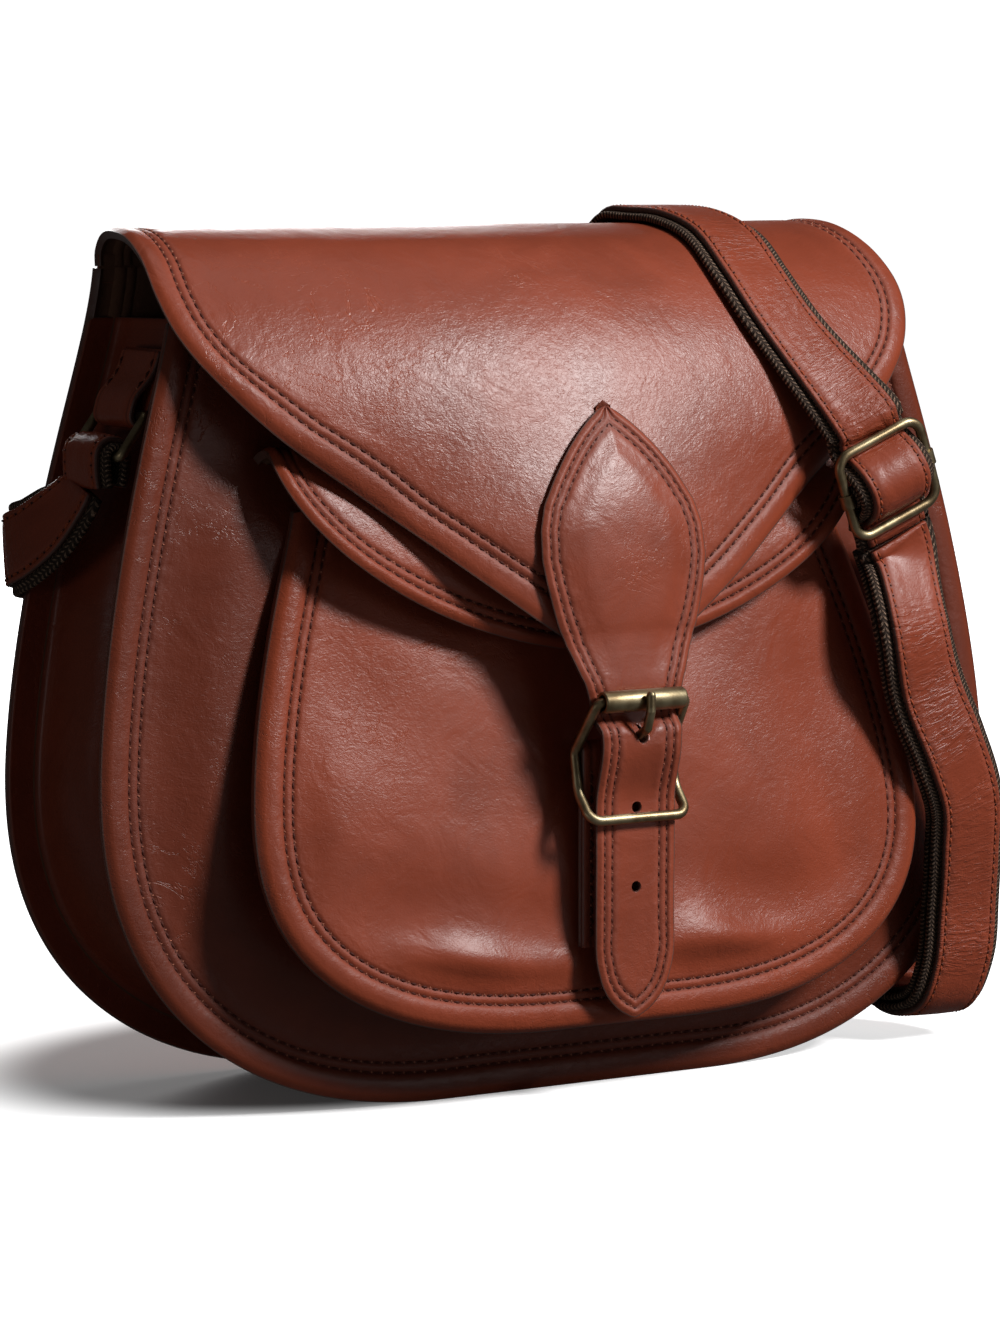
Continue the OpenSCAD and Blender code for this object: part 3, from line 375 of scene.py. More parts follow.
def thicken(obj, thickness, bevel=0.45):
    """Gives a sheet its thickness inwards, with the second material on its back, and rounds its rim."""
    solid = obj.modifiers.new("thickness", "SOLIDIFY")
    solid.thickness, solid.offset, solid.use_even_offset = thickness * MM, -1, False
    solid.material_offset = 1
    rim = obj.modifiers.new("rim", "BEVEL")
    rim.width, rim.segments = bevel * thickness * MM, 3
    rim.limit_method, rim.angle_limit = "ANGLE", np.radians(50)
    return obj


def dress(obj, body, slot, materials, *nodes):
    """Gives a finished piece its materials, its body and the CAD nodes that it stands for. slot is not used. A piece
    across a joint has (body a, body b, start, end) for its body; such a piece only has its transform baked, and neither
    body is used."""
    for m in materials:
        obj.data.materials.append(m)
    if isinstance(body, str):
        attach(obj, body)
    else:
        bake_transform(obj)
    if nodes:
        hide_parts(*nodes)
    return obj


def panel_object(name, panel, thickness, inner=26, bevel=0.45):
    """A panel's grid as a mesh, thickened inwards. Its edge attribute is the distance from the edge."""
    place, d = panel.grid(inner)
    p, _ = panel.face(place[..., 0], place[..., 1], d)
    n, m = d.shape
    seam = np.min([np.abs(d - s) for s in panel.seams], axis=0)
    obj = mesh_object(name, p.reshape(-1, 3), grid_faces(n, m), {"edge": d, "seam": seam}, place.reshape(-1, 2) / 10)
    tidy(obj, outward=panel.out)
    return thicken(obj, thickness, bevel)


# A stitch's rings as places along it, radii and heights over its ends: a long dash of five, then a bead of three
THREAD_RINGS = np.array([[-1, 0.3, 0], [-0.72, 0.85, 0.48], [0, 1, 1], [0.72, 0.85, 0.48], [1, 0.3, 0],
                         [1.16, 0.4, 0.5], [1.4, 0.95, 1.05], [1.64, 0.4, 0.5]])


def thread(points, normals, pitch, wide=0.9, high=0.5, long=0.72, slant=0.07):
    """Stitches along a line on a face, as points, faces and dots. Each is an arch whose ends sink under the face, and
    a small bead beside it, where the leather is pulled up between two holes; its material paints a highlight on the
    body's beads and shade on the strap's. dots is 1 on beads."""
    at = lengths(points)
    count = max(1, int(round(at[-1] / pitch)))
    where = (np.arange(count) + 0.5) * at[-1] / count
    pick = lambda a: np.stack([np.interp(where, at, a[:, j]) for j in range(3)], axis=1)
    p, n = pick(points), unit(pick(normals))
    t = unit(pick(np.gradient(points, axis=0)))
    b = unit(np.cross(n, t))
    t = unit(t + slant * b)
    a = np.linspace(0, 2 * np.pi, 6, endpoint=False)
    ring_t, ring_r, ring_up = THREAD_RINGS.T
    lx = np.repeat(ring_t * long * at[-1] / count / 2, 6)
    ly = (ring_r[:, None] * wide / 2 * np.cos(a)).ravel()
    lz = (ring_r[:, None] * wide / 2 * np.sin(a) + (high * ring_up - 0.46)[:, None]).ravel()
    v = p[:, None] + lx[None, :, None] * t[:, None] + ly[None, :, None] * b[:, None] + lz[None, :, None] * n[:, None]
    one = np.array(grid_faces(5, 6, True) + (np.array(grid_faces(3, 6, True)) + 30).tolist())
    starts = np.arange(count)[:, None] * 48
    faces = (one[None] + starts[..., None]).reshape(-1, 4).tolist()
    for ring in (0, 24, 30, 42):
        way = np.arange(6)[::-1] if ring in (0, 30) else np.arange(6)
        faces += (starts + ring + way).tolist()
    return v.reshape(-1, 3), faces, np.tile(np.arange(48) >= 30, count)


def stitch_object(name, lines, body, slot, kind="thread", **options):
    """One object with the stitches of several lines, each a pair of points and normals. Their pitch is the one in the
    settings unless it is given."""
    options.setdefault("pitch", bpy.context.scene.bag_sizes.stitch_pitch / MM)
    points, faces, dots, n = [], [], [], 0
    for line_points, line_normals in lines:
        v, f, dot = thread(line_points, line_normals, **options)
        points.append(v)
        dots.append(dot)
        faces += [[i + n for i in face] for face in f]
        n += len(v)
    obj = mesh_object(name, np.concatenate(points), faces, {"dot": np.concatenate(dots)})
    return dress(obj, body, slot, [material(kind)])


def seam_lines(panel, distances, trim=0.0):
    """Lines of points and normals on a panel at the given distances from its edge, cut short by trim at both ends."""
    lines = []
    for d in distances:
        place = panel.at_distance(d)
        at = lengths(place)
        keep = (at >= trim) & (at <= at[-1] - trim)
        place = place[keep]
        p, n = panel.face(place[:, 0], place[:, 1], np.full(len(place), float(d)))
        lines.append((p, n))
    return lines


def stitched_panel(name, panel, thickness, body, slot, leather, node, trim, inner=26):
    """A panel's leather for a CAD node, and the stitches along its seams."""
    obj = panel_object(name + "_leather", panel, thickness, inner)
    dress(obj, body, slot, two_faced(leather), node)
    stitch_object(name + "_stitches", seam_lines(panel, panel.seams, trim), body, slot)


# Materials

class Nodes:
    """Short calls that add shader nodes to a new material and link them."""

    def __init__(self, name):
        self.material = bpy.data.materials.new(name)
        self.material.use_nodes = True
        self.tree = self.material.node_tree
        self.tree.nodes.clear()
        self.shader = self.add("ShaderNodeBsdfPrincipled")
        out = self.add("ShaderNodeOutputMaterial")
        self.tree.links.new(self.shader.outputs[0], out.inputs[0])

    def add(self, kind, **values):
        node = self.tree.nodes.new(kind)
        for key, value in values.items():
            setattr(node, key, value)
        return node

    def put(self, socket, value):
        if isinstance(value, bpy.types.NodeSocket):
            self.tree.links.new(value, socket)
        else:
            socket.default_value = value

    def math(self, operation, a, b=0.0, clamp=False):
        node = self.add("ShaderNodeMath", operation=operation, use_clamp=clamp)
        self.put(node.inputs[0], a)
        self.put(node.inputs[1], b)
        return node.outputs[0]

    def span(self, value, a, b, low=0.0, high=1.0):
        """Maps value from a..b to low..high with smooth ends."""
        node = self.add("ShaderNodeMapRange", interpolation_type="SMOOTHSTEP")
        for i, v in enumerate((value, a, b, low, high)):
            self.put(node.inputs[i], v)
        return node.outputs[0]

    def mix(self, share, a, b):
        node = self.add("ShaderNodeMix", data_type="RGBA")
        self.put(node.inputs[0], share)
        self.put(node.inputs[6], a)
        self.put(node.inputs[7], b)
        return node.outputs[2]

    def place(self, scale=(1, 1, 1), uv=False, shift=(0, 0, 0)):
        where = self.add("ShaderNodeTexCoord").outputs["UV" if uv else "Object"]
        node = self.add("ShaderNodeMapping")
        self.put(node.inputs["Vector"], where)
        node.inputs["Scale"].default_value = scale
        node.inputs["Location"].default_value = shift
        return node.outputs[0]

    def noise(self, vector, scale, detail=3.0, rough=0.55, distortion=0.0):
        node = self.add("ShaderNodeTexNoise")
        self.put(node.inputs["Vector"], vector)
        for key, value in (("Scale", scale), ("Detail", detail), ("Roughness", rough), ("Distortion", distortion)):
            node.inputs[key].default_value = value
        return node.outputs[0]

    def cells(self, vector, scale, feature="DISTANCE_TO_EDGE"):
        node = self.add("ShaderNodeTexVoronoi", feature=feature)
        self.put(node.inputs["Vector"], vector)
        node.inputs["Scale"].default_value = scale
        return node.outputs["Distance"]

    def attribute(self, name):
        return self.add("ShaderNodeAttribute", attribute_name=name).outputs["Fac"]

    def bump(self, height, strength, distance, under=None):
        node = self.add("ShaderNodeBump")
        node.inputs["Strength"].default_value = strength
        node.inputs["Distance"].default_value = distance
        self.put(node.inputs["Height"], height)
        if under is not None:
            self.put(node.inputs["Normal"], under)
        return node.outputs[0]

    def finish(self, color, roughness, normal=None, **constants):
        self.put(self.shader.inputs["Base Color"], color)
        self.put(self.shader.inputs["Roughness"], roughness)
        if normal is not None:
            self.put(self.shader.inputs["Normal"], normal)
        for key, value in constants.items():
            self.shader.inputs[key.replace("_", " ")].default_value = value
        return self.material


def shade(color, k):
    """A colour made lighter or darker by the factor k."""
    return tuple(min(1.0, c * k) for c in color[:3]) + (1.0,)


def leather_material(name, color, creases=0.5, uv_creases=False, gloss=0.4):
    """Polished leather: mottled colour, painted shade in the stitch grooves, greyish on cut edges and lighter where a
    turned edge is rubbed, with a wavy grain, sparse thin creases, puckers beside the stitches and soft waves in its
    surface."""
    n = Nodes(name)
    p = n.place()
    mottle = n.noise(p, 26, 5, 0.6, 0.4)
    broad = n.noise(p, 7, 2, 0.5, 0.2)
    base = n.mix(n.span(mottle, 0.32, 0.7), shade(color, 0.84), shade(color, 1.12))
    base = n.mix(n.span(broad, 0.35, 0.7, 0, 0.5), base, (color[0] * 1.12, color[1] * 1.0, color[2] * 0.84, 1))
    edge, seam = n.attribute("edge"), n.attribute("seam")
    rubbed = n.math("MULTIPLY", n.span(edge, 0.6, 1.5), n.span(edge, 3.6, 1.8))
    base = n.mix(n.math("MULTIPLY", rubbed, 0.3), base, (color[0] * 1.3, color[1] * 1.3, color[2] * 1.15, 1))
    base = n.mix(n.span(edge, 0.5, 0.1, 0, 0.9), base, (0.10, 0.058, 0.048, 1))
    # Painted shade: the colour darkens within 0.7 mm of each stitch row, standing in for the shade in its groove
    base = n.mix(n.span(seam, 0.7, 0.2, 0, 0.55), base, shade(color, 0.4))
    grain = n.noise(n.place((500, 500, 740)), 1.0, 2, 0.6, 2.0)
    rich = n.span(n.noise(p, 11, 2, 0.5), 0.35, 0.65, 0.25, 1.0)
    net = n.math("ABSOLUTE", n.math("SUBTRACT", n.noise(p, 48, 5, 0.7, 0.6), 0.5))
    mask = n.span(n.noise(p, 15, 2, 0.5, 0.6), 0.52, 0.66)
    cracks = n.math("MULTIPLY", n.span(net, 0.011, 0.0), mask)
    base = n.mix(n.math("MULTIPLY", cracks, 0.4), base, (color[0] * 1.5, color[1] * 1.7, color[2] * 1.7, 1))
    normal = n.bump(n.cells(p, 1200), 0.12, 0.0002)
    normal = n.bump(n.math("MULTIPLY", grain, rich), 0.36, 0.0004, normal)
    normal = n.bump(n.math("SUBTRACT", 1.0, cracks), creases * 0.5, 0.0004, normal)
    pucker = n.math("MULTIPLY", n.noise(p, 230, 2, 0.5, 0.3), n.span(seam, 5.5, 0.8))
    normal = n.bump(pucker, 0.45, 0.0008, normal)
    if uv_creases:
        ridge = n.noise(n.place((1.1, 5.0, 1), uv=True), 1.6, 3, 0.55, 0.8)
        bands = n.span(n.noise(n.place((0.02, 0.3, 1), uv=True), 1.0, 1, 0.5), 0.4, 0.62)
        normal = n.bump(n.math("MULTIPLY", n.span(ridge, 0.42, 0.64), bands), 0.4, 0.0007, normal)
    normal = n.bump(n.noise(p, 60, 3, 0.6, 1.0), 0.35, 0.0011, normal)
    rough = n.math("ADD", n.math("MULTIPLY", mottle, 0.16), n.span(seam, 2.8, 0.3, 0.30, 0.52))
    return n.finish(base, rough, normal, IOR=1.5, Specular_IOR_Level=gloss)


def suede_material(name, color):
    """Rough back of the leather: short nap, no gloss."""
    n = Nodes(name)
    p = n.place()
    nap = n.noise(p, 900, 4, 0.7)
    base = n.mix(nap, shade(color, 0.75), shade(color, 1.15))
    return n.finish(base, 0.9, n.bump(nap, 0.35, 0.0003), Specular_IOR_Level=0.2)


def webbing_material(name, color, fleck):
    """Woven strap on its own UV map, in centimetres: slanted ribs that turn at each warp, lighter flecks, and painted
    shade in the hollows between the ribs.
    """
    n = Nodes(name)
    uv = n.add("ShaderNodeTexCoord").outputs["UV"]
    split = n.add("ShaderNodeSeparateXYZ")
    n.put(split.inputs[0], uv)
    warp = n.math("PINGPONG", n.math("MULTIPLY", split.outputs[0], 6.0), 1.0)
    rib = n.math("SINE", n.math("MULTIPLY", n.math("ADD", n.math("MULTIPLY", split.outputs[1], 7.5), warp), 6.283))
    column = n.math("ABSOLUTE", n.math("SINE", n.math("MULTIPLY", split.outputs[0], 18.85)))
    height = n.math("MULTIPLY", n.span(rib, -0.7, 0.6), n.math("POWER", column, 0.5))
    grain = n.noise(uv, 30, 3, 0.7)
    light = n.math("MULTIPLY", n.span(height, 0.5, 1.0), n.span(grain, 0.42, 0.62))
    base = n.mix(light, shade(color, 0.85), fleck)
    # Painted shade: the low parts between the ribs darken towards 0.35 of the colour
    base = n.mix(n.span(height, 0.35, 0.0), base, shade(color, 0.35))
    return n.finish(base, 0.86, n.bump(height, 0.9, 0.0005), Specular_IOR_Level=0.25)


def brass_material(name, color):
    """Antique brass: bright where it is handled, brown in its patches, with fine brushing along the wire."""
    n = Nodes(name)
    p = n.place()
    patch = n.noise(p, 160, 4, 0.6, 0.3)
    base = n.mix(n.span(patch, 0.35, 0.68), shade((color[0] * 0.62, color[1] * 0.55, color[2] * 0.5), 1.0), color + (1,))
    brushed = n.noise(n.place((1400, 220, 1400)), 1.0, 3, 0.6)
    rough = n.math("ADD", n.math("MULTIPLY", patch, 0.2), 0.32)
    return n.finish(base, rough, n.bump(brushed, 0.12, 0.0002), Metallic=1.0)


def thread_material(name, color, dot):
    """Waxed thread: slightly lighter and darker along the seam, with beads in the colour dot: a painted highlight
    between the body's stitches, painted shade between the strap's.
    """
    n = Nodes(name)
    p = n.place()
    base = n.mix(n.noise(p, 300, 2, 0.5), shade(color, 0.7), shade(color, 1.35))
    # Painted light and shade: the beads take the colour dot, lighter than the thread for a highlight, darker for shade
    base = n.mix(n.attribute("dot"), base, n.mix(n.noise(p, 190, 1, 0.5), shade(dot, 0.3), shade(dot, 1.5)))
    return n.finish(base, 0.6, n.bump(n.noise(p, 2600, 2, 0.5), 0.3, 0.0001), Specular_IOR_Level=0.15)


MATERIALS = {}


def material(name):
    """The named material, made from the settings when it is first asked for."""
    if name not in MATERIALS:
        s = bpy.context.scene.bag_finish
        make = {
            "leather": lambda: leather_material("leather", tuple(s.leather), gloss=0.5),
            "pocket_leather": lambda: leather_material("pocket_leather", tuple(s.leather), 0.7, gloss=0.33),
            # Painted shade: the front panel's leather is the same leather darkened to 0.58, standing in for the shade
            # that falls on it
            "front_leather": lambda: leather_material("front_leather", shade(tuple(s.leather), 0.58)[:3], 0.7),
            "strap_leather": lambda: leather_material("strap_leather", tuple(s.leather), 0.55, True),
            "gusset_leather": lambda: leather_material("gusset_leather", shade(tuple(s.leather), 0.8)[:3], 0.7),
            "suede": lambda: suede_material("suede", tuple(s.lining)),
            "webbing": lambda: webbing_material("webbing", tuple(s.webbing), tuple(s.fleck) + (1.0,)),
            "brass": lambda: brass_material("brass", tuple(s.brass)),
            # The body thread's beads are light, a painted highlight; the strap thread's beads are dark, painted shade
            "thread": lambda: thread_material("thread", tuple(s.thread), (0.36, 0.13, 0.08)),
            "strap_thread": lambda: thread_material("strap_thread", tuple(s.strap_thread), (0.06, 0.016, 0.01)),
        }
        MATERIALS[name] = make[name]()
    return MATERIALS[name]


def two_faced(name):
    """A leather's material and that of its rough back."""
    return [material(name), material("suede")]


# Ribbons: the strap's leather and webbing

def place_rows(route):
    """Route rows with their places in millimetres."""
    return [[[x * HALF_W, y * BACK_Y, z * BODY_H], out] for (x, y, z), out in route]


def turn_x(p, degrees):
    """Points turned about the X axis."""
    p, a = np.asarray(p, float), np.radians(degrees)
    y, z = p[..., 1] * np.cos(a) - p[..., 2] * np.sin(a), p[..., 1] * np.sin(a) + p[..., 2] * np.cos(a)
    return np.stack([p[..., 0], y, z], axis=-1)


def from_slide(u, v, w):
    """A place given along the slide's bar, up the strap and outwards."""
    a = np.radians(SLIDE_TURN)
    return SLIDE_AT + turn_x([u * np.cos(a) - v * np.sin(a), -w, u * np.sin(a) + v * np.cos(a)], SLIDE_TILT)


def slide_way(u, v, w):
    """A direction given in the same axes."""
    return from_slide(u, v, w) - SLIDE_AT


SLIDE_OUT = slide_way(0, 0, 1)


def front_rows():
    """Rows of the run over the flap and through the slide."""
    rows = []
    for k, share, raised in FRONT_ROUTE:
        x = share * FLAP_W / 2
        n = flap_normal(k, x)
        rows.append([flap_point(k, x) + (0.3 + WEB_T + raised * FLAP_T) * n, n])
    for v, over, below in SLIDE_ROWS:
        rows.append([from_slide(0, v * SLIDE_L, over * HUMP + below * UNDER), SLIDE_OUT])
    return rows


def drop_rows():
    """Rows of the doubled run from the slide, round the bottom, up to the right ring."""
    top = [[from_slide(0, -v * SLIDE_L, 1.12 * UNDER), SLIDE_OUT] for v in (0.68, 0.92)]
    return top + place_rows(DROP_ROUTE)


def back_rows():
    """Rows of the run from the left ring round behind the bag and up to the flap's fold."""
    end = [[0.382 * HALF_W, BACK_Y + 0.15 + WEB_T, BACK_H - 0.6], [0, 1, 0]]
    return place_rows(BACK_ROUTE) + [end]


class Ribbon:
    """A flat strap along rows of [place, outward direction]. Its centre line is a Catmull-Rom curve; at each point
    the side is the cross product of the outward direction and the line's own, and the outward one is squared to both."""

    def __init__(self, rows, first=0.0, last=None, step=1.6):
        rows = np.array([[np.asarray(r[0], float), np.asarray(r[1], float)] for r in rows])
        last = len(rows) - 1 if last is None else last
        k = np.linspace(first, last, 2000)
        at = lengths(spline(rows, k)[:, 0])
        k = np.interp(np.linspace(0, at[-1], max(3, int(at[-1] / step) + 1)), at, k)
        both = spline(rows, k)
        e = 0.02
        low, high = np.maximum(k - e, 0), np.minimum(k + e, len(rows) - 1)
        self.place = both[:, 0]
        self.along = unit(spline(rows, high)[:, 0] - spline(rows, low)[:, 0])
        self.side = unit(np.cross(both[:, 1], self.along))
        self.out = np.cross(self.along, self.side)
        self.at = lengths(self.place)

    def line(self, across, height, first=0.0, last=None):
        """Points and normals of a line on the strap, between two lengths."""
        last = self.at[-1] if last is None else last
        keep = (self.at >= first) & (self.at <= last)
        return (self.place + across * self.side + height * self.out)[keep], self.out[keep]


def leather_section(width, low, high, seam=1.9, crown=0.35):
    """Section of a leather strip: a low arch on top with a groove at each seam, rounded sides and a flat back.
    Returns places across and up, and the distance from the nearer edge and seam."""
    h = width / 2
    right = [0, 0.2 * h, 0.45 * h, h - seam - 1.6, h - seam - 0.7, h - seam, h - seam + 0.7, h - 0.75, h - 0.25, h]
    a = np.array([-x for x in right[:0:-1]] + right)
    near = h - np.abs(a)
    t = high - low
    b = high + crown * (1 - (a / h) ** 2) - 0.3 * np.exp(-((near - seam) / 0.55) ** 2)
    b = b - 0.4 * t * (1 - np.sqrt(np.clip(1 - (1 - np.clip(near / 0.8, 0, 1)) ** 2, 0, 1)))
    under_a = np.array([h, h - 0.35, 0.4 * h, -0.4 * h, 0.35 - h, -h])
    under_b = np.array([low + 0.3 * t, low, low, low, low, low + 0.3 * t])
    a, b = np.concatenate([a, under_a]), np.concatenate([b, under_b])
    near = h - np.abs(a)
    return a, b, near, np.abs(near - seam) + 4.0 * (np.arange(len(a)) >= len(right) * 2 - 1)


def webbing_section(width, low, high):
    """Section of a webbing: a slab with round sides. A row of places across and up."""
    h, mid, r = width / 2, (low + high) / 2, (high - low) / 2
    arc = np.radians(np.linspace(90, -90, 7))
    flat = np.linspace(-h + r, h - r, 9)
    a = np.concatenate([flat, h - r + r * np.cos(arc)[1:-1], flat[::-1], -h + r - r * np.cos(arc)[1:-1]])
    b = np.concatenate([np.full(9, high), mid + r * np.sin(arc)[1:-1], np.full(9, low), mid - r * np.sin(arc)[1:-1]])
    return a, b, np.full(len(a), 9.0), np.full(len(a), 9.0)


def spread(at):
    """Share of a strap's widening at each length: it rises over the first 15 mm, and is gone at 0.72 of the strap."""
    return (smooth(0, 15, at) * smooth(0.72, 0.5, at / at[-1]))[:, None]


def ribbon_object(name, ribbon, section, wave=0.0, seed=1, widen=0.0, shift=0.0):
    """A closed strip: the section carried along the ribbon and capped, with a UV map in centimetres. It may be
    wider by the share widen, and moved over to one side by shift, over the first two thirds of its length."""
    a, b, edge, seam = section
    n, m = len(ribbon.place), len(a)
    lift = wave * ripple(np.stack([ribbon.at, ribbon.at * 0, ribbon.at * 0], axis=1), 30, seed)
    b = b[None] + lift[:, None] * (np.abs(a)[None] < np.abs(a).max() * 0.9)
    here = spread(ribbon.at)
    over = a * (1 + widen * here) + shift * here
    p = ribbon.place[:, None] + over[..., None] * ribbon.side[:, None] + b[..., None] * ribbon.out[:, None]
    faces = grid_faces(n, m, True) + [list(range(m))[::-1], list(range((n - 1) * m, n * m))]
    uv = np.stack([np.broadcast_to(a / 10, (n, m)), np.broadcast_to(ribbon.at[:, None] / 10, (n, m))], axis=-1)
    values = {"edge": np.broadcast_to(edge, (n, m)), "seam": np.broadcast_to(seam, (n, m))}
    obj = mesh_object(name, p.reshape(-1, 3), faces, values, uv.reshape(-1, 2))
    return face_outwards(obj)


# Settings

class BagFinish(bpy.types.PropertyGroup):
    """Colours of the bag's materials."""
    def _color(name, text, value):
        return bpy.props.FloatVectorProperty(name=name, description=text, subtype="COLOR", size=3, min=0, max=1,
                                             default=value)
    leather: _color("Leather", "Colour of the polished leather", (0.272, 0.051, 0.022))
    lining: _color("Lining", "Colour of the leather's rough back", (0.16, 0.075, 0.045))
    webbing: _color("Webbing", "Colour of the woven strap", (0.080, 0.048, 0.033))
    fleck: _color("Fleck", "Colour of the lighter threads in the webbing", (0.38, 0.25, 0.17))
    brass: _color("Brass", "Colour of the buckle, the rings and the slide", (0.41, 0.335, 0.20))
    thread: _color("Thread", "Colour of the body's stitches", (0.070, 0.015, 0.009))
    strap_thread: _color("Strap thread", "Colour of the strap's stitches", (0.33, 0.065, 0.024))


class BagSizes(bpy.types.PropertyGroup):
    """Sizes that a user would change without touching the CAD."""
    stitch_pitch: bpy.props.FloatProperty(name="Stitch pitch", description="Distance between stitches", unit="LENGTH",
                                          default=0.0033, min=0.002, max=0.006)
    body_swell: bpy.props.FloatProperty(name="Body swell", description="How far the front and back stand proud",
                                        unit="LENGTH", default=0.0048, min=0.0, max=0.006)
    gusset_fold: bpy.props.FloatProperty(name="Gusset fold", description="How far the sides fold in at the top",
                                         unit="LENGTH", default=0.0125, min=0.0, max=0.015)


# Pieces

class PieceOperator:
    bl_options = {"REGISTER", "UNDO"}

    def execute(self, context):
        self.make()
        return {"FINISHED"}


class BAG_OT_front_panel(PieceOperator, bpy.types.Operator):
    """Front panel, swollen a little by its stiffening, with two rows of stitches along its edge"""
    bl_idname = "bag.front_panel"
    bl_label = "Front Panel"

    def make(self):
        swell = bpy.context.scene.bag_sizes.body_swell / MM

        def lift(x, l):
            return np.stack([x, FRONT_Y + FRONT_LEAN * (FRONT_H - l), FRONT_H - l], axis=-1)

        def bulge(p, d):
            """The swell rises from the seam inwards, plus soft waves."""
            return smooth(10.8, 34, d) * smooth(182, 150, p[..., 2]) * (swell + 0.9 * ripple(p, 70, 3))
        panel = Panel(half_outline(BODY, FRONT_H), lift, (8.0, 10.8), bulge, (100, 150), welt=0.9)
        stitched_panel("front_panel", panel, PANEL_T, "body", "leather", "front_leather", "front_panel", 2)


class BAG_OT_back_panel(PieceOperator, bpy.types.Operator):
    """Back panel, with the same seam as the front"""
    bl_idname = "bag.back_panel"
    bl_label = "Back Panel"

    def make(self):
        swell = bpy.context.scene.bag_sizes.body_swell / MM

        def lift(x, l):
            return np.stack([x, BACK_Y + 0 * l, BACK_H - l], axis=-1)

        def bulge(p, d):
            return smooth(11, 50, d) * smooth(222, 190, p[..., 2]) * (0.5 * swell + 0.8 * ripple(p, 80, 5))
        panel = Panel(half_outline(BODY, BACK_H), lift, (8.0, 10.8), bulge, (110, 160), (0, 1, 0), welt=0.9)
        stitched_panel("back_panel", panel, PANEL_T, "body", "leather", "leather", "back_panel", 2)


def gusset_grid(shape, top, flange, front_y, back_y, fold, back_flange=True):
    """Channel gusset: along the panel's outline one way, and across its depth the other. Across, it runs in along
    the front flange, turns into the wall, folds in at the middle by fold(z), and turns out along the back flange."""
    half = half_outline(shape, top)
    right = resample(half, 2.0)
    edge = np.concatenate([right * (-1, 1), right[::-1][1:]])
    tangent = unit(np.gradient(edge, axis=0))
    way = np.stack([tangent[:, 1], -tangent[:, 0]], axis=1)
    straight = edge[:, 1] < top - shape["base"] - shape["ch"]
    way[straight] = np.stack([1 / way[straight, 0], 0 * way[straight, 0]], axis=1)
    z = top - edge[:, 1]
    y0, y1 = front_y(z), back_y(z)
    depth = y1 - y0
    r = np.minimum(3.0, depth / 3.5)
    one, zero = np.ones_like(z), np.zeros_like(z)
    f, c = flange, fold(z)
    nodes = [(zero, 0.3 * one), (zero, 0.6 * (f - 2) * one), (0.1 * r, (f - 1.6) * one), (0.75 * r, (f - 0.4) * one),
             (2.0 * r, f + 0.06 * c), (r + 0.3 * depth, f + 0.42 * c), (0.5 * depth, f + c),
             (depth - r - 0.3 * depth, f + 0.42 * c), (depth - 2.0 * r, f + 0.06 * c),
             (depth - 0.75 * r, (f - 0.4) * one)]
    if back_flange:
        nodes += [(depth - 0.1 * r, (f - 1.6) * one), (depth, 0.6 * (f - 2) * one), (depth, 0.3 * one)]
    else:
        nodes += [(depth, f * one)]
    table = np.array(nodes)
    across = spline(table, np.linspace(0, len(table) - 1, 5 * (len(table) - 1) + 1))
    y, d = y0[None] + across[:, 0], across[:, 1]
    x = edge[None, :, 0] + d * way[None, :, 0]
    zz = top - (edge[None, :, 1] + d * way[None, :, 1])
    return np.stack([x, y, zz], axis=-1).transpose(1, 0, 2), d.T


def gusset_object(name, grid, d, top, thickness, seed):
    """A gusset's grid with soft waves in its wall, thickened inwards."""
    n, m = d.shape
    side = unit(np.cross(np.gradient(grid, axis=0), np.gradient(grid, axis=1)))
    centre = np.array([0, grid[..., 1].mean(), 110])
    flip = np.sign(np.sum(side * (grid - centre), axis=-1, keepdims=True).mean())
    wall = smooth(7, 13, d)
    grid = grid + flip * side * (wall * 0.9 * ripple(grid, 42, seed))[..., None]
    edge = np.minimum(d, np.maximum(top - grid[..., 2], 0))
    obj = mesh_object(name, grid.reshape(-1, 3), grid_faces(n, m), {"edge": edge, "seam": np.full_like(d, 9.0)})
    b = bmesh.new()
    b.from_mesh(obj.data)
    b.normal_update()
    total = sum(f.normal.dot(f.calc_center_median() - Vector(centre * MM)) * f.calc_area() for f in b.faces)
    if total < 0:
        bmesh.ops.reverse_faces(b, faces=b.faces)
    b.to_mesh(obj.data)
    b.free()
    return thicken(obj, thickness)


class BAG_OT_gusset(PieceOperator, bpy.types.Operator):
    """Side and bottom of the body in one piece, folded in along its middle"""
    bl_idname = "bag.gusset"
    bl_label = "Gusset"

    def make(self):
        deep = bpy.context.scene.bag_sizes.gusset_fold / MM
        grid, d = gusset_grid(
            BODY, FRONT_H, SEAM_W, lambda z: FRONT_Y + FRONT_LEAN * z + PANEL_T + 0.2,
            lambda z: BACK_Y - PANEL_T - 0.2 + 0 * z, lambda z: 3 + (deep - 3) * smooth(50, 200, z))
        obj = gusset_object("gusset_leather", grid, d, FRONT_H, GUSSET_T, 11)
        dress(obj, "body", "leather_dark", two_faced("gusset_leather"), "main_gusset")


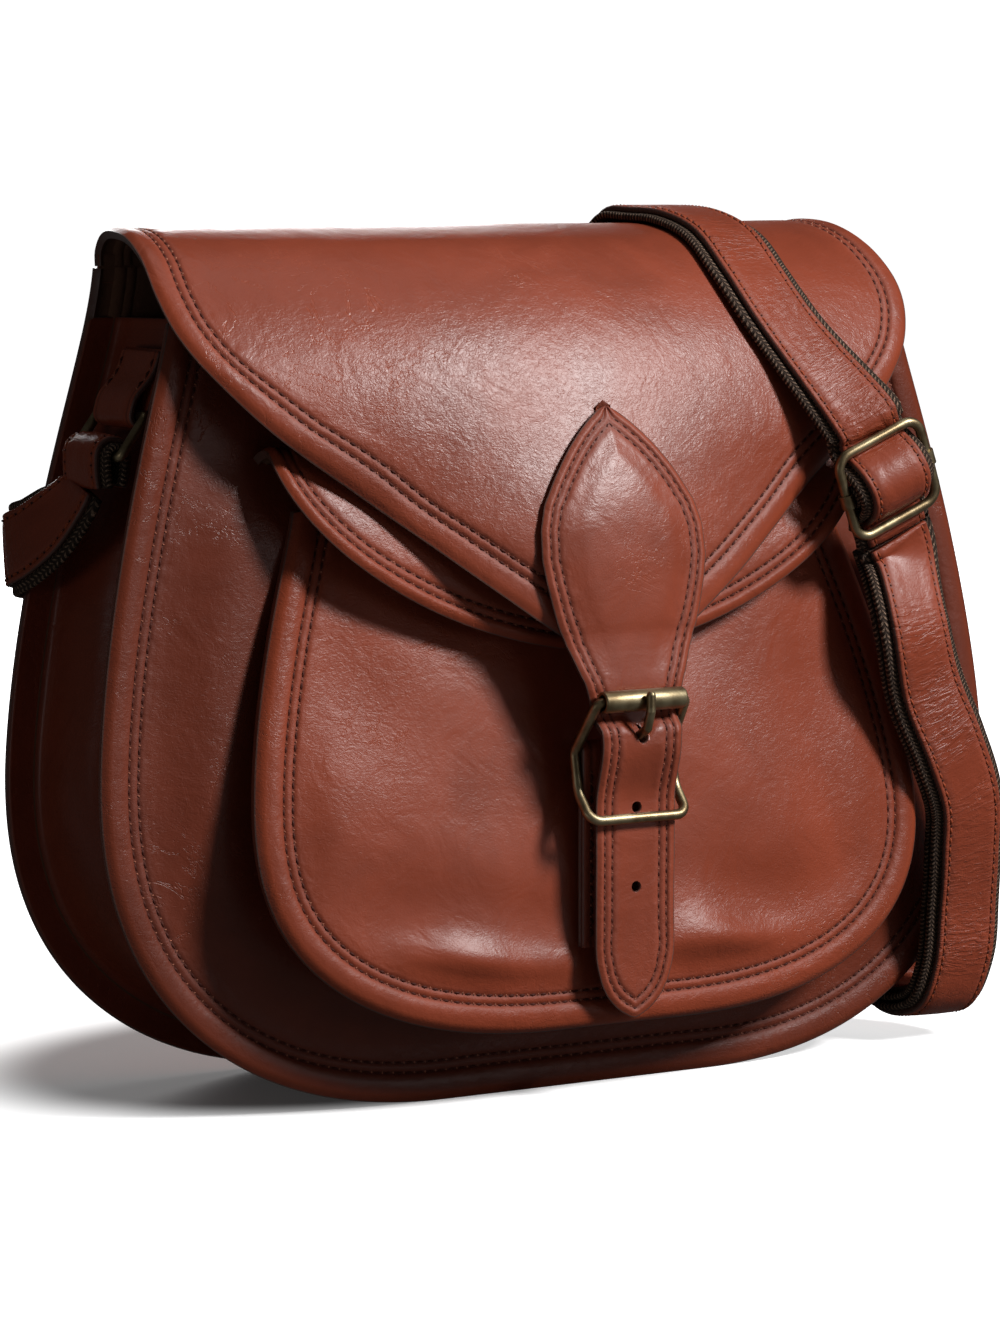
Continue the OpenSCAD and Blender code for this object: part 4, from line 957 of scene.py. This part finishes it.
class BAG_OT_pocket(PieceOperator, bpy.types.Operator):
    """Front pocket: a crowned panel and its narrow gusset"""
    bl_idname = "bag.pocket"
    bl_label = "Pocket"

    def make(self):
        def lift(x, l):
            z = POCKET_TOP - l
            u = np.clip(np.abs(x) / half_width(POCKET, z), 0, 1)
            v = np.clip((z - POCKET["base"]) / (POCKET_TOP - POCKET["base"]), 0, 1)
            swell = POCKET_CROWN * (1 - u ** 2.4) * np.sin(np.pi * v ** 0.8) ** 0.7
            return np.stack([x, POCKET_Y + POCKET_LEAN * z - swell, z], axis=-1)

        def bulge(p, d):
            """A step down at the seam, a soft roll above it with a dent over the roll, and waves."""
            x, low = p[..., 0], p[..., 2] - 3 * np.sin(p[..., 0] / 13)
            dent = np.exp(-(((np.abs(x - 3) - 44) / 34) ** 2 + ((low - 54) / 9) ** 2))
            roll = np.exp(-(((np.abs(x - 3) - 44) / 36) ** 2 + ((low - 39) / 5.5) ** 2))
            return smooth(10.6, 22, d) * (0.5 + 1.0 * ripple(p, 52, 8) - 1.4 * dent + 2.6 * roll)
        panel = Panel(half_outline(POCKET, POCKET_TOP), lift, (8.0, 10.6), bulge, (60, 92), welt=1.1)
        stitched_panel("pocket", panel, POCKET_T, "body", "leather_light", "pocket_leather", "pocket_panel", 2)
        grid, d = gusset_grid(
            POCKET, POCKET_TOP, POCKET_SEAM_W, lambda z: POCKET_Y + POCKET_LEAN * z + PANEL_T + 0.1,
            lambda z: FRONT_Y + FRONT_LEAN * z - 0.3, lambda z: 1.2 + 0 * z, back_flange=False)
        obj = gusset_object("pocket_gusset_leather", grid, d, POCKET_TOP, GUSSET_T, 12)
        dress(obj, "body", "leather_dark", two_faced("gusset_leather"), "pocket_gusset")


class BAG_OT_pocket_lid(PieceOperator, bpy.types.Operator):
    """Lid over the pocket, under the flap"""
    bl_idname = "bag.pocket_lid"
    bl_label = "Pocket Lid"

    def make(self):
        half = np.stack([lid_half(LID_K), LID_LEN], axis=1)
        half = np.concatenate([half, [[0, LID_LEN[-1]]]])

        def lift(x, l):
            rows = spline(LID_ROWS, np.interp(l, LID_LEN, LID_K))
            return np.stack([x, LID_Y - rows[..., 0] * LID_DEPTH, LID_H - rows[..., 1] * LID_DROP], axis=-1)

        def bulge(p, d):
            return smooth(6, 14, d) * 0.5 * ripple(p, 36, 4)
        panel = Panel(half, lift, (4.0, 6.6), bulge, (12, 38), welt=0.4)
        stitched_panel("pocket_lid", panel, LID_T, "pocket_lid", "leather_light", "pocket_leather", "pocket_lid",
                       14, 14)


def flap_panel():
    """The flap's panel: its outline in lengths down the middle profile, lifted on to the flap's face."""
    half = np.stack([flap_half(FLAP_K), FLAP_LEN], axis=1)
    half = np.concatenate([half, [[0, FLAP_LEN[-1]]]])

    def lift(x, l):
        return flap_point(np.interp(l, FLAP_LEN, FLAP_K), x)

    def bulge(p, d):
        return smooth(10, 30, d) * 0.55 * ripple(p, 75, 9) + smooth(2, 14, d) * flap_press(p)
    return Panel(half, lift, (6.6, 9.2), bulge, (60, 130), (0, -0.5, 0.8), welt=0.45)


class BAG_OT_flap(PieceOperator, bpy.types.Operator):
    """Flap that folds over from the back, with a turned and doubly stitched edge"""
    bl_idname = "bag.flap"
    bl_label = "Flap"

    def make(self):
        stitched_panel("flap", flap_panel(), FLAP_T, "flap", "leather", "leather", "flap", 3)


class BAG_OT_flap_hinge(PieceOperator, bpy.types.Operator):
    """Strip of leather between the layers, that joins the flap to the back panel"""
    bl_idname = "bag.flap_hinge"
    bl_label = "Flap Hinge"

    def make(self):
        z = np.array([219.0, 221, 222, 222.7, 223.2, 223.7, 224.4, 225.4, 226.8])
        x = np.linspace(-1, 1, 25)
        wide = np.minimum(half_width(BODY, np.minimum(z, 223)), flap_half(0)) - 0.5
        p = np.stack(np.broadcast_arrays(x[None] * wide[:, None], BACK_Y - 0.75 + 0 * z[:, None], z[:, None]), axis=-1)
        obj = mesh_object("flap_hinge_strip", p.reshape(-1, 3), grid_faces(len(z), len(x)),
                          {"edge": np.full(p.shape[:2], 5.0), "seam": np.full(p.shape[:2], 9.0)})
        tidy(obj, outward=(0, 1, 0))
        thicken(obj, 1.3, 0.2)
        dress(obj, ("body", "flap", (0, 0.045, 0.2215), (0, 0.045, 0.225)), "leather_dark", two_faced("gusset_leather"))


def cut_holes(obj, cutters):
    """Cuts each cutter object out of obj for good and deletes it."""
    bpy.context.view_layer.objects.active = obj
    for cutter in cutters:
        cut = obj.modifiers.new("cut", "BOOLEAN")
        cut.operation, cut.object, cut.solver = "DIFFERENCE", cutter, "EXACT"
    for name in [m.name for m in obj.modifiers]:
        bpy.ops.object.modifier_apply(modifier=name)
    for cutter in cutters:
        bpy.data.objects.remove(cutter)


def drill(x, y, z, radius, length, stretch=1.0):
    """A closed cylinder along Y, for cutting a hole."""
    a = np.linspace(0, 2 * np.pi, 24, endpoint=False)
    ring = np.stack([x + radius * np.cos(a), 0 * a, z + radius * stretch * np.sin(a)], axis=1)
    p = np.concatenate([ring + (0, y - length / 2, 0), ring + (0, y + length / 2, 0)])
    faces = grid_faces(2, 24, True) + [list(range(24))[::-1], list(range(24, 48))]
    return face_outwards(mesh_object("drill", p, faces))


class BAG_OT_closing_strap(PieceOperator, bpy.types.Operator):
    """Teardrop patch that runs on as a pointed strap, with its holes and its double seams"""
    bl_idname = "bag.closing_strap"
    bl_label = "Closing Strap"

    def make(self):
        half = np.stack([CLOSER_HALF, CLOSER_LEN], axis=1)
        half = np.concatenate([[[0, 0]], half, [[0, CLOSER_LEN[-1]]]])
        half = half[np.concatenate([[True], lengths(half)[1:] - lengths(half)[:-1] > 1e-6])]
        rows = np.linspace(0, len(CLOSER_ROWS) - 1, len(CLOSER_ROWS))

        def lift(x, l):
            """Bilinear reading of the strap's table at the length l and the share x of its half-width."""
            k = np.interp(l, CLOSER_LEN, rows)
            i = np.clip(k.astype(int), 0, len(rows) - 2)
            t = (k - i)[..., None]
            w = np.maximum(np.interp(l, CLOSER_LEN, CLOSER_HALF), 0.3)
            j = (np.clip(x / w, -1, 1) + 1) * 12
            jj = np.clip(j.astype(int), 0, 23)
            s = (j - jj)[..., None]
            low = CLOSER_ROWS[i, jj] * (1 - s) + CLOSER_ROWS[i, jj + 1] * s
            high = CLOSER_ROWS[i + 1, jj] * (1 - s) + CLOSER_ROWS[i + 1, jj + 1] * s
            p = low * (1 - t) + high * t
            p[..., 0] = x
            return p

        def bulge(p, d):
            """The patch swells between its seams. Below the roller the strap stands out, with a V for the prong."""
            z = p[..., 2]
            edge = 103.2 - 3.4 * np.exp(-(p[..., 0] / 3.0) ** 2)
            stand = 3.7 * smooth(edge - 2.6, edge + 2.4, z)
            stand = 3.7 * smooth(81, 98, z) - stand
            return smooth(5.5, 13, d) * smooth(110, 138, z) * 1.1 + 0.12 * ripple(p, 22, 6) + stand
        panel = Panel(half, lift, CLOSER_SEAMS, bulge, (0, CLOSER_LEN[-1] - 9), step=1.2, turned=0.45, welt=0.2)
        obj = panel_object("closing_strap_leather", panel, CLOSER_T, 9, 0.42)
        cut_holes(obj, [drill(0, -49, z, 1.5, 20) for z in HOLES_Z] + [drill(0, -50, 99.9, 1.8, 20, 1.3)])
        dress(obj, "flap", "leather_light", two_faced("leather"), "closing_strap")
        outer, inner = CLOSER_SEAMS
        lines = seam_lines(panel, (outer,), 3)
        points, normals = seam_lines(panel, (inner,))[0]
        lines.append((points[4:-4], normals[4:-4]))
        v_x = np.linspace(-1, 1, 40)
        v_l = np.interp(-(132.5 - 9.2 * (1 - np.abs(v_x)) ** 0.8), -CLOSER_ROWS[:, 12, 2], CLOSER_LEN)
        wide = np.interp(v_l, CLOSER_LEN, CLOSER_HALF) - inner
        lines.append(panel.face(v_x * wide, v_l, np.full(40, inner)))
        stitch_object("closing_strap_stitches", lines, "flap", "leather_light", pitch=2.9, wide=0.75, high=0.42)


class BAG_OT_buckle_tab(PieceOperator, bpy.types.Operator):
    """Leather tab folded over the buckle's centre bar, behind the closing strap"""
    bl_idname = "bag.buckle_tab"
    bl_label = "Buckle Tab"

    def make(self):
        r, foot = 3.18, 42.5
        front, back = BAR_Y - r, BAR_Y + 0.02
        a = np.radians(np.linspace(180, 0, 9))
        path = [[front, foot], [front, 60], [front, 80]]
        path += [[BAR_Y + r * np.cos(t), BAR_Z + r * np.sin(t)] for t in a]
        path += [[BAR_Y + 1.9, BAR_Z - 5], [back, BAR_Z - 10], [back, 70], [back, foot]]
        ways = [[-1, 0]] * 3 + [[np.cos(t), np.sin(t)] for t in a] + [[0.9, -0.35], [1, -0.1], [1, 0], [1, 0]]
        rows = [[[0, y, z], [0, wy, wz]] for (y, z), (wy, wz) in zip(path, ways)]
        ribbon = Ribbon(rows, step=1.2)
        obj = ribbon_object("buckle_tab_leather", ribbon, leather_section(28, -1.55, 0, 2.6, 0.1))
        cut_holes(obj, [drill(0, BAR_Y - 3, BAR_Z + 1, 2.0, 9, 2.2)])
        dress(obj, "flap", "leather_dark", two_faced("leather"), "buckle_tab")
        lines = [ribbon.line(s * 11.4, 0, 2, 48) for s in (-1, 1)]
        stitch_object("buckle_tab_stitches", lines, "flap", "leather_dark", pitch=2.9, wide=0.85)


def ring_x():
    return float(half_width(BODY, RING_Z)) - SEAM_W + RING_EYE_R + CHAPE_T + RING_ROOM


def mirrored(rows, side):
    """Rows of a route for the right side, or turned over for the left."""
    return [[[side * r[0][0], r[0][1], r[0][2]], [side * r[1][0], r[1][1], r[1][2]]] for r in rows]


def loop_rows(x, z, radius, arc, before=(), after=()):
    """Rows round a bar along Y at (x, z), between the angles of arc in degrees, with straight rows at both ends."""
    rows = [[[px, RING_Y, pz], [nx, 0, nz]] for (px, pz), (nx, nz) in before]
    for a in np.radians(np.linspace(arc[0], arc[1], 12)):
        rows.append([[x + radius * np.cos(a), RING_Y, z + radius * np.sin(a)], [np.cos(a), 0, np.sin(a)]])
    return rows + [[[px, RING_Y, pz], [nx, 0, nz]] for (px, pz), (nx, nz) in after]


class BAG_OT_ring_loops(PieceOperator, bpy.types.Operator):
    """Leather loops that hold the side rings, and the strap's ends folded round them"""
    bl_idname = "bag.ring_loops"
    bl_label = "Ring Loops"

    def make(self):
        x = ring_x()
        slope = np.radians(RING_SLOPE)
        outer_x, outer_z = x + RING_L * np.cos(slope), RING_Z - RING_L * np.sin(slope)
        lean = -0.27
        for side, word in ((1, "right"), (-1, "left")):
            before = [((x - 1.2 + lean * 16, RING_Z + 17), (1, lean)), ((x - 0.4 + lean * 10, RING_Z + 11), (1, lean)),
                      ((x + 1.6, RING_Z + 5.5), (0.95, 0.2))]
            after = [((x - 3.4 + lean * 5, RING_Z + 5), (-1, -lean)), ((x - 3.5 + lean * 17, RING_Z + 17), (-1, -lean))]
            rows = loop_rows(x, RING_Z, RING_EYE_R + 1.9, (20, -190), before, after)
            ribbon = Ribbon(mirrored(rows, side), step=0.8)
            obj = ribbon_object("chape_%s_leather" % word, ribbon, leather_section(CHAPE_W, -1.5, 0, 2.0, 0.15))
            dress(obj, "body", "leather", two_faced("leather"), "chape_" + word)
            lines = [ribbon.line(s * 9, 0, 1, 12) for s in (-1, 1)]
            stitch_object("chape_%s_stitches" % word, lines, "body", "leather", pitch=2.8)
            r = RING_EYE_R + WEB_T
            bottom = (outer_x + r - 0.6, 166.4)
            rows = loop_rows(outer_x, outer_z, r, (5, 180), [(bottom, (0.95, 0.3)), ((outer_x + r, 170.5), (1, 0.1))],
                             [((outer_x - r + 0.4, 170.0), (-1, -0.1)), ((outer_x - r + 1.3, 166.5), (-1, -0.3))])
            ribbon = Ribbon(mirrored(rows, side), step=0.8)
            web = ribbon_object("ring_loop_%s_webbing" % word, ribbon, webbing_section(WEB_W, -WEB_T, 0))
            dress(web, "ring_" + word, "webbing", [material("webbing")], "strap_ring_loop_" + word)
            skin = ribbon_object("ring_loop_%s_leather" % word, ribbon, leather_section(STRAP_W, 0.05, STRAP_T))
            dress(skin, "ring_" + word, "leather_light", two_faced("strap_leather"))
            lines = [ribbon.line(s * STRAP_SEAM, STRAP_T) for s in (-1, 1)]
            stitch_object("ring_loop_%s_stitches" % word, lines, "ring_" + word, "leather_light", "strap_thread",
                          **STRAP_STITCH)


def strap_run(word, rows, first, last, body, nodes, layers=("outer",), seed=1, widen=0.0, shift=0.0):
    """One run of the shoulder strap: webbing, leather and its two seams, and the inner layer where it is doubled."""
    ribbon = Ribbon(rows, first, last)
    if "outer" in layers:
        web = ribbon_object("strap_%s_webbing_weave" % word, ribbon, webbing_section(WEB_W, -WEB_T, 0),
                            widen=widen)
        dress(web, body, "webbing", [material("webbing")], *[n for n in nodes if "webbing" in n])
        skin = ribbon_object("strap_%s_leather_face" % word, ribbon, leather_section(STRAP_W, 0.05, STRAP_T), 0.12, seed,
                             widen / 2, shift)
        dress(skin, body, "leather_light", two_faced("strap_leather"), *[n for n in nodes if "leather" in n])
        lines = []
        for s in (-1, 1):
            place, out = ribbon.line(s * STRAP_SEAM, STRAP_T)
            lines.append((place + (s * widen / 2 * STRAP_SEAM + shift) * spread(ribbon.at) * ribbon.side, out))
        stitch_object("strap_%s_stitches" % word, lines, body, "leather_light", "strap_thread", **STRAP_STITCH)
    if "inner" in layers:
        low = -2 * WEB_T - LAYER_GAP
        web = ribbon_object("strap_%s_inner_webbing" % word, ribbon, webbing_section(WEB_W, low, low + WEB_T))
        dress(web, body, "webbing", [material("webbing")], *[n for n in nodes if "inner" in n])
        a, b, edge, seam = leather_section(STRAP_W, 0.05, STRAP_T)
        skin = ribbon_object("strap_%s_inner_leather" % word, ribbon, (a, low - b, edge, seam))
        dress(skin, body, "leather_light", two_faced("strap_leather"))
        lines = []
        for s in (-1, 1):
            p, n = ribbon.line(s * STRAP_SEAM, low - STRAP_T)
            lines.append((p, -n))
        stitch_object("strap_%s_inner_stitches" % word, lines, body, "leather_light", "strap_thread", **STRAP_STITCH)


class BAG_OT_shoulder_strap(PieceOperator, bpy.types.Operator):
    """Shoulder strap: leather on webbing, behind the bag, over the flap, through the slide and round to the ring"""
    bl_idname = "bag.shoulder_strap"
    bl_label = "Shoulder Strap"

    def make(self):
        back, front, drop = back_rows(), front_rows(), drop_rows()
        whole = back + front
        first, fold = 4, len(back) + 0.4
        hook = ("body", "ring_left", (-0.135, 0.028, 0.158), (-0.128, 0.023, 0.166))
        over = ("body", "flap", (0.049, 0.05, 0.2120), (0.051, 0.05, 0.2245))
        down = ("flap", "body", (0.094, -0.036, 0.147), (0.12, -0.02, 0.020))
        up = ("body", "ring_right", (0.137, 0.015, 0.115), (0.1265, 0.022, 0.165))
        both = ("outer", "inner")
        strap_run("hook", whole, 0, first, hook, [], seed=2)
        strap_run("back", whole, first, fold, over, ["strap_back_leather", "strap_back_webbing"], seed=3)
        strap_run("front", whole, fold, len(whole) - 1, "flap", ["strap_front_leather", "strap_front_webbing"], seed=4,
                  widen=0.11, shift=-0.8)
        strap_run("drop", drop, 0, TURN_FROM, down, ["strap_drop_leather", "strap_drop_webbing", "strap_drop_inner"],
                  both, 5)
        strap_run("turn", drop, TURN_FROM, RISE_FROM, "body",
                  ["strap_turn_leather", "strap_turn_webbing", "strap_turn_inner"], both, 6)
        strap_run("rise", drop, RISE_FROM, len(drop) - 1, up,
                  ["strap_rise_leather", "strap_rise_webbing", "strap_rise_inner"], both, 7)


class BAG_OT_strap_anchor(PieceOperator, bpy.types.Operator):
    """End of the strap sewn round the slide's centre bar"""
    bl_idname = "bag.strap_anchor"
    bl_label = "Strap Anchor"

    def make(self):
        rows = [[from_slide(0, -11.4, -7.4), slide_way(0, 0.4, -0.9)], [from_slide(0, -6, -5.0), slide_way(0, 0.4, -0.9)]]
        for a in np.radians(np.linspace(-112, 222, 16)):
            rows.append([from_slide(0, ANCHOR_R * np.cos(a), ANCHOR_R * np.sin(a)), slide_way(0, np.cos(a), np.sin(a))])
        obj = ribbon_object("strap_anchor_webbing", Ribbon(rows, step=0.7), webbing_section(WEB_W, -1.7, 0))
        dress(obj, "flap", "webbing", [material("webbing")], "strap_anchor")


def bent_wire(corners):
    """Closed line with a round bend at each corner. A corner is its place and radius r; the bend's middle lies at
    r / sin(h) from it, where h is half the angle between its sides."""
    line, n = [], len(corners)
    for i, (b, r) in enumerate(corners):
        b = np.asarray(b, float)
        u, v = (unit(np.asarray(corners[(i + j) % n][0], float) - b) for j in (-1, 1))
        half = np.arccos(u @ v) / 2
        t = (np.pi / 2 - half) * np.linspace(-1, 1, 9)[:, None]
        line.append(b + r / np.sin(half) * unit(u + v) + r * (np.sin(t) * unit(v - u) - np.cos(t) * unit(u + v)))
    return np.concatenate(line)


def wire_object(name, line, r, across):
    """Round wire along a closed line. across is a direction that no part of the line follows."""
    t = unit(np.roll(line, -1, axis=0) - np.roll(line, 1, axis=0))
    a = unit(np.cross(t, across))
    b = np.cross(t, a)
    q = np.linspace(0, 2 * np.pi, 16, endpoint=False)[None, :, None]
    p = line[:, None] + r * (np.cos(q) * a[:, None] + np.sin(q) * b[:, None])
    n = len(line)
    faces = [[v % (16 * n) for v in face[::-1]] for face in grid_faces(n + 1, 16, True)]
    return mesh_object(name, p.reshape(-1, 3), faces)


class BAG_OT_wires(PieceOperator, bpy.types.Operator):
    """Bent wire frames of the buckle and the slide"""
    bl_idname = "bag.wires"
    bl_label = "Wire Frames"

    def make(self):
        right = [((x, BAR_Y - y, BAR_Z + z), r) for x, y, z, r in BUCKLE_BENDS]
        left = [((-p[0], p[1], p[2]), r) for p, r in reversed(right)]
        frame_wire = wire_object("buckle_frame_brass", bent_wire(right + left), WIRE_R, (0, 1, 0))
        bar = wire_bar("buckle_bar_brass", (-BAR_HALF, BAR_Y, BAR_Z), (BAR_HALF, BAR_Y, BAR_Z), WIRE_R)
        a = np.linspace(0, 2 * np.pi, 32, endpoint=False)
        x, r = np.array(ROLLER).T
        ahead, above = BUCKLE_BENDS[0][1:3]
        tube = np.stack(np.broadcast_arrays(x[:, None], BAR_Y - ahead + r[:, None] * np.cos(a),
                                            BAR_Z + above + r[:, None] * np.sin(a)), axis=-1)
        roller = mesh_object("buckle_roller_brass", tube.reshape(-1, 3), grid_faces(len(x), 32, True))
        dress(roller, "roller", "brass", [material("brass")], "buckle_roller")
        u, v = SLIDE_W / 2 - SLIDE_WIRE_R, SLIDE_L / 2 - SLIDE_WIRE_R
        places = [from_slide(x, y, 0) for x, y in ((u, v), (u, -v), (-u, -v), (-u, v))]
        slide = wire_object("slide_frame_brass", bent_wire([(p, 4.6) for p in places]), SLIDE_WIRE_R, SLIDE_OUT)
        for obj, nodes in ((frame_wire, ["buckle_frame"]), (bar, []), (slide, ["slide_frame"])):
            dress(obj, "flap", "brass", [material("brass")], *nodes)


def wire_bar(name, a, b, r):
    """Straight round bar from a to b, with its ends rounded over."""
    a, b = np.asarray(a, float), np.asarray(b, float)
    t = unit(b - a)
    side = unit(np.cross(t, (0, 0, 1)))
    up = np.cross(t, side)
    steps = [(0, 0.0), (0, 0.7), (0.12 * r, 0.92), (0.4 * r, 1.0)]
    steps += [(np.linalg.norm(b - a) - s, k) for s, k in reversed(steps)]
    q = np.linspace(0, 2 * np.pi, 16, endpoint=False)[:, None]
    p = np.concatenate([a + s * t + max(k, 0.001) * r * (np.cos(q) * side + np.sin(q) * up) for s, k in steps])
    return tidy(mesh_object(name, p, [f[::-1] for f in grid_faces(len(steps), 16, True)]), 0.003)


class BAG_OT_hardware(PieceOperator, bpy.types.Operator):
    """Antique brass on the buckle, the rings, the slide and the snap, whose CAD shapes stay"""
    bl_idname = "bag.hardware"
    bl_label = "Hardware"

    def make(self):
        for name in ("buckle_prong", "snap_male", "snap_female", "ring_left", "ring_right", "slide_bar"):
            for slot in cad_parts[name].material_slots:
                slot.material = material("brass")


class BAG_OT_stage(PieceOperator, bpy.types.Operator):
    """Floor, lamps, sky and the camera at the photograph's angle"""
    bl_idname = "bag.stage"
    bl_label = "Stage"

    def make(self):
        scene = bpy.context.scene
        reach = 6000
        corners = [[x * reach, y * reach, 0] for x, y in ((-1, -1), (1, -1), (1, 1), (-1, 1))]
        floor = mesh_object("floor", corners, [[0, 1, 2, 3]])
        n = Nodes("paper")
        seen = n.add("ShaderNodeLightPath").outputs["Is Camera Ray"]
        shadow, side = (n.add("ShaderNodeVectorMath", operation="LENGTH") for _ in range(2))
        n.put(shadow.inputs[0], n.place((10.0, 13.8, 1), shift=(0.39, -0.69, 0)))
        n.put(side.inputs[0], n.place((9, 11, 1), shift=(-1.0, 0, 0)))
        # Painted light for the camera: the floor is 0.10 grey to bounced light but white to the camera, and glows white
        # except in an ellipse beside the bag, where the lamps' shadow is left to show, and glows less on the right,
        # near the strap's shadow
        n.finish(n.mix(seen, (0.10, 0.10, 0.10, 1), (0.97, 0.96, 0.96, 1)), 1.0, Specular_IOR_Level=0.0)
        n.shader.inputs["Emission Color"].default_value = (1, 1, 1, 1)
        glow = n.math("MULTIPLY", n.span(shadow.outputs["Value"], 0.83, 1.27, 0.02, 1.0),
                      n.span(side.outputs["Value"], 0.7, 1.1, 0.6, 1.0))
        n.put(n.shader.inputs["Emission Strength"], n.math("MULTIPLY", seen, glow))
        floor.data.materials.append(n.material)

        world = bpy.data.worlds.new("sky")
        scene.world = world
        world.use_nodes = True
        links, nodes = world.node_tree.links, world.node_tree.nodes
        sky = nodes["Background"]
        sky.inputs[0].default_value = (1.0, 1.0, 1.0, 1)
        path, dim = nodes.new("ShaderNodeLightPath"), nodes.new("ShaderNodeMapRange")
        dim.inputs["To Min"].default_value, dim.inputs["To Max"].default_value = 0.03, 1.05
        links.new(path.outputs["Is Camera Ray"], dim.inputs["Value"])
        links.new(dim.outputs[0], sky.inputs[1])

        def lamp(name, place, target, size, power, color=(1, 1, 1)):
            data = bpy.data.lights.new(name, "AREA")
            data.shape, data.size, data.size_y, data.energy, data.color = "RECTANGLE", size[0], size[1], power, color
            obj = bpy.data.objects.new(name, data)
            scene.collection.objects.link(obj)
            obj.location = place
            obj.rotation_euler = (Vector(target) - Vector(place)).to_track_quat("-Z", "Y").to_euler()
        lamp("key", (1.03, -1.43, 1.47), (0.02, -0.02, 0.12), (0.42, 0.5), 52)
        lamp("low", (0.75, -1.7, 0.25), (0.02, -0.03, 0.07), (0.9, 0.4), 1.1)
        lamp("left", (-1.7, -0.5, 0.1), (-0.12, 0, 0.06), (0.6, 0.3), 1.2)
        lamp("top", (0.15, 0.1, 1.3), (0, 0, 0.1), (0.9, 0.5), 1.2)
        lamp("back", (0.5, 1.6, 0.5), (0, 0, 0.10), (0.8, 0.6), 15)

        camera = bpy.data.cameras.new("camera")
        camera.lens, camera.sensor_width = 129.68, 36
        camera.clip_start, camera.clip_end = 0.05, 50
        obj = bpy.data.objects.new("camera", camera)
        scene.collection.objects.link(obj)
        right, up, back = (0.85775, -0.51406, 0.0), (0.05777, 0.09640, 0.99366), (-0.51080, -0.85232, 0.11239)
        turn = Matrix((right, up, back)).transposed()
        obj.matrix_world = Matrix.Translation((-0.68438, -1.12030, 0.26159)) @ turn.to_4x4()
        scene.camera = obj
        scene.view_settings.view_transform = "Standard"


class BAG_PT_panel(bpy.types.Panel):
    """Lists the bag's pieces"""
    bl_label = "Leather Crossbody Bag"
    bl_idname = "BAG_PT_panel"
    bl_space_type = "VIEW_3D"
    bl_region_type = "UI"
    bl_category = "Bag"

    def draw(self, context):
        for group in (context.scene.bag_sizes, context.scene.bag_finish):
            for key in group.bl_rna.properties.keys():
                if key not in ("rna_type", "name"):
                    self.layout.prop(group, key)
        for piece in PIECES:
            self.layout.operator(piece.bl_idname)


PIECES = (BAG_OT_front_panel, BAG_OT_back_panel, BAG_OT_gusset, BAG_OT_pocket, BAG_OT_pocket_lid, BAG_OT_flap,
          BAG_OT_flap_hinge, BAG_OT_closing_strap, BAG_OT_buckle_tab, BAG_OT_ring_loops, BAG_OT_shoulder_strap,
          BAG_OT_strap_anchor, BAG_OT_wires, BAG_OT_hardware, BAG_OT_stage)
CLASSES = (BagFinish, BagSizes) + PIECES + (BAG_PT_panel,)


def register():
    for cls in CLASSES:
        bpy.utils.register_class(cls)
    bpy.types.Scene.bag_finish = bpy.props.PointerProperty(type=BagFinish)
    bpy.types.Scene.bag_sizes = bpy.props.PointerProperty(type=BagSizes)


def unregister():
    del bpy.types.Scene.bag_sizes
    del bpy.types.Scene.bag_finish
    for cls in reversed(CLASSES):
        bpy.utils.unregister_class(cls)


def main():
    """Makes every piece."""
    register()
    for piece in PIECES:
        group, word = piece.bl_idname.split(".")
        getattr(getattr(bpy.ops, group), word)()


if __name__ == "__main__":
    main()
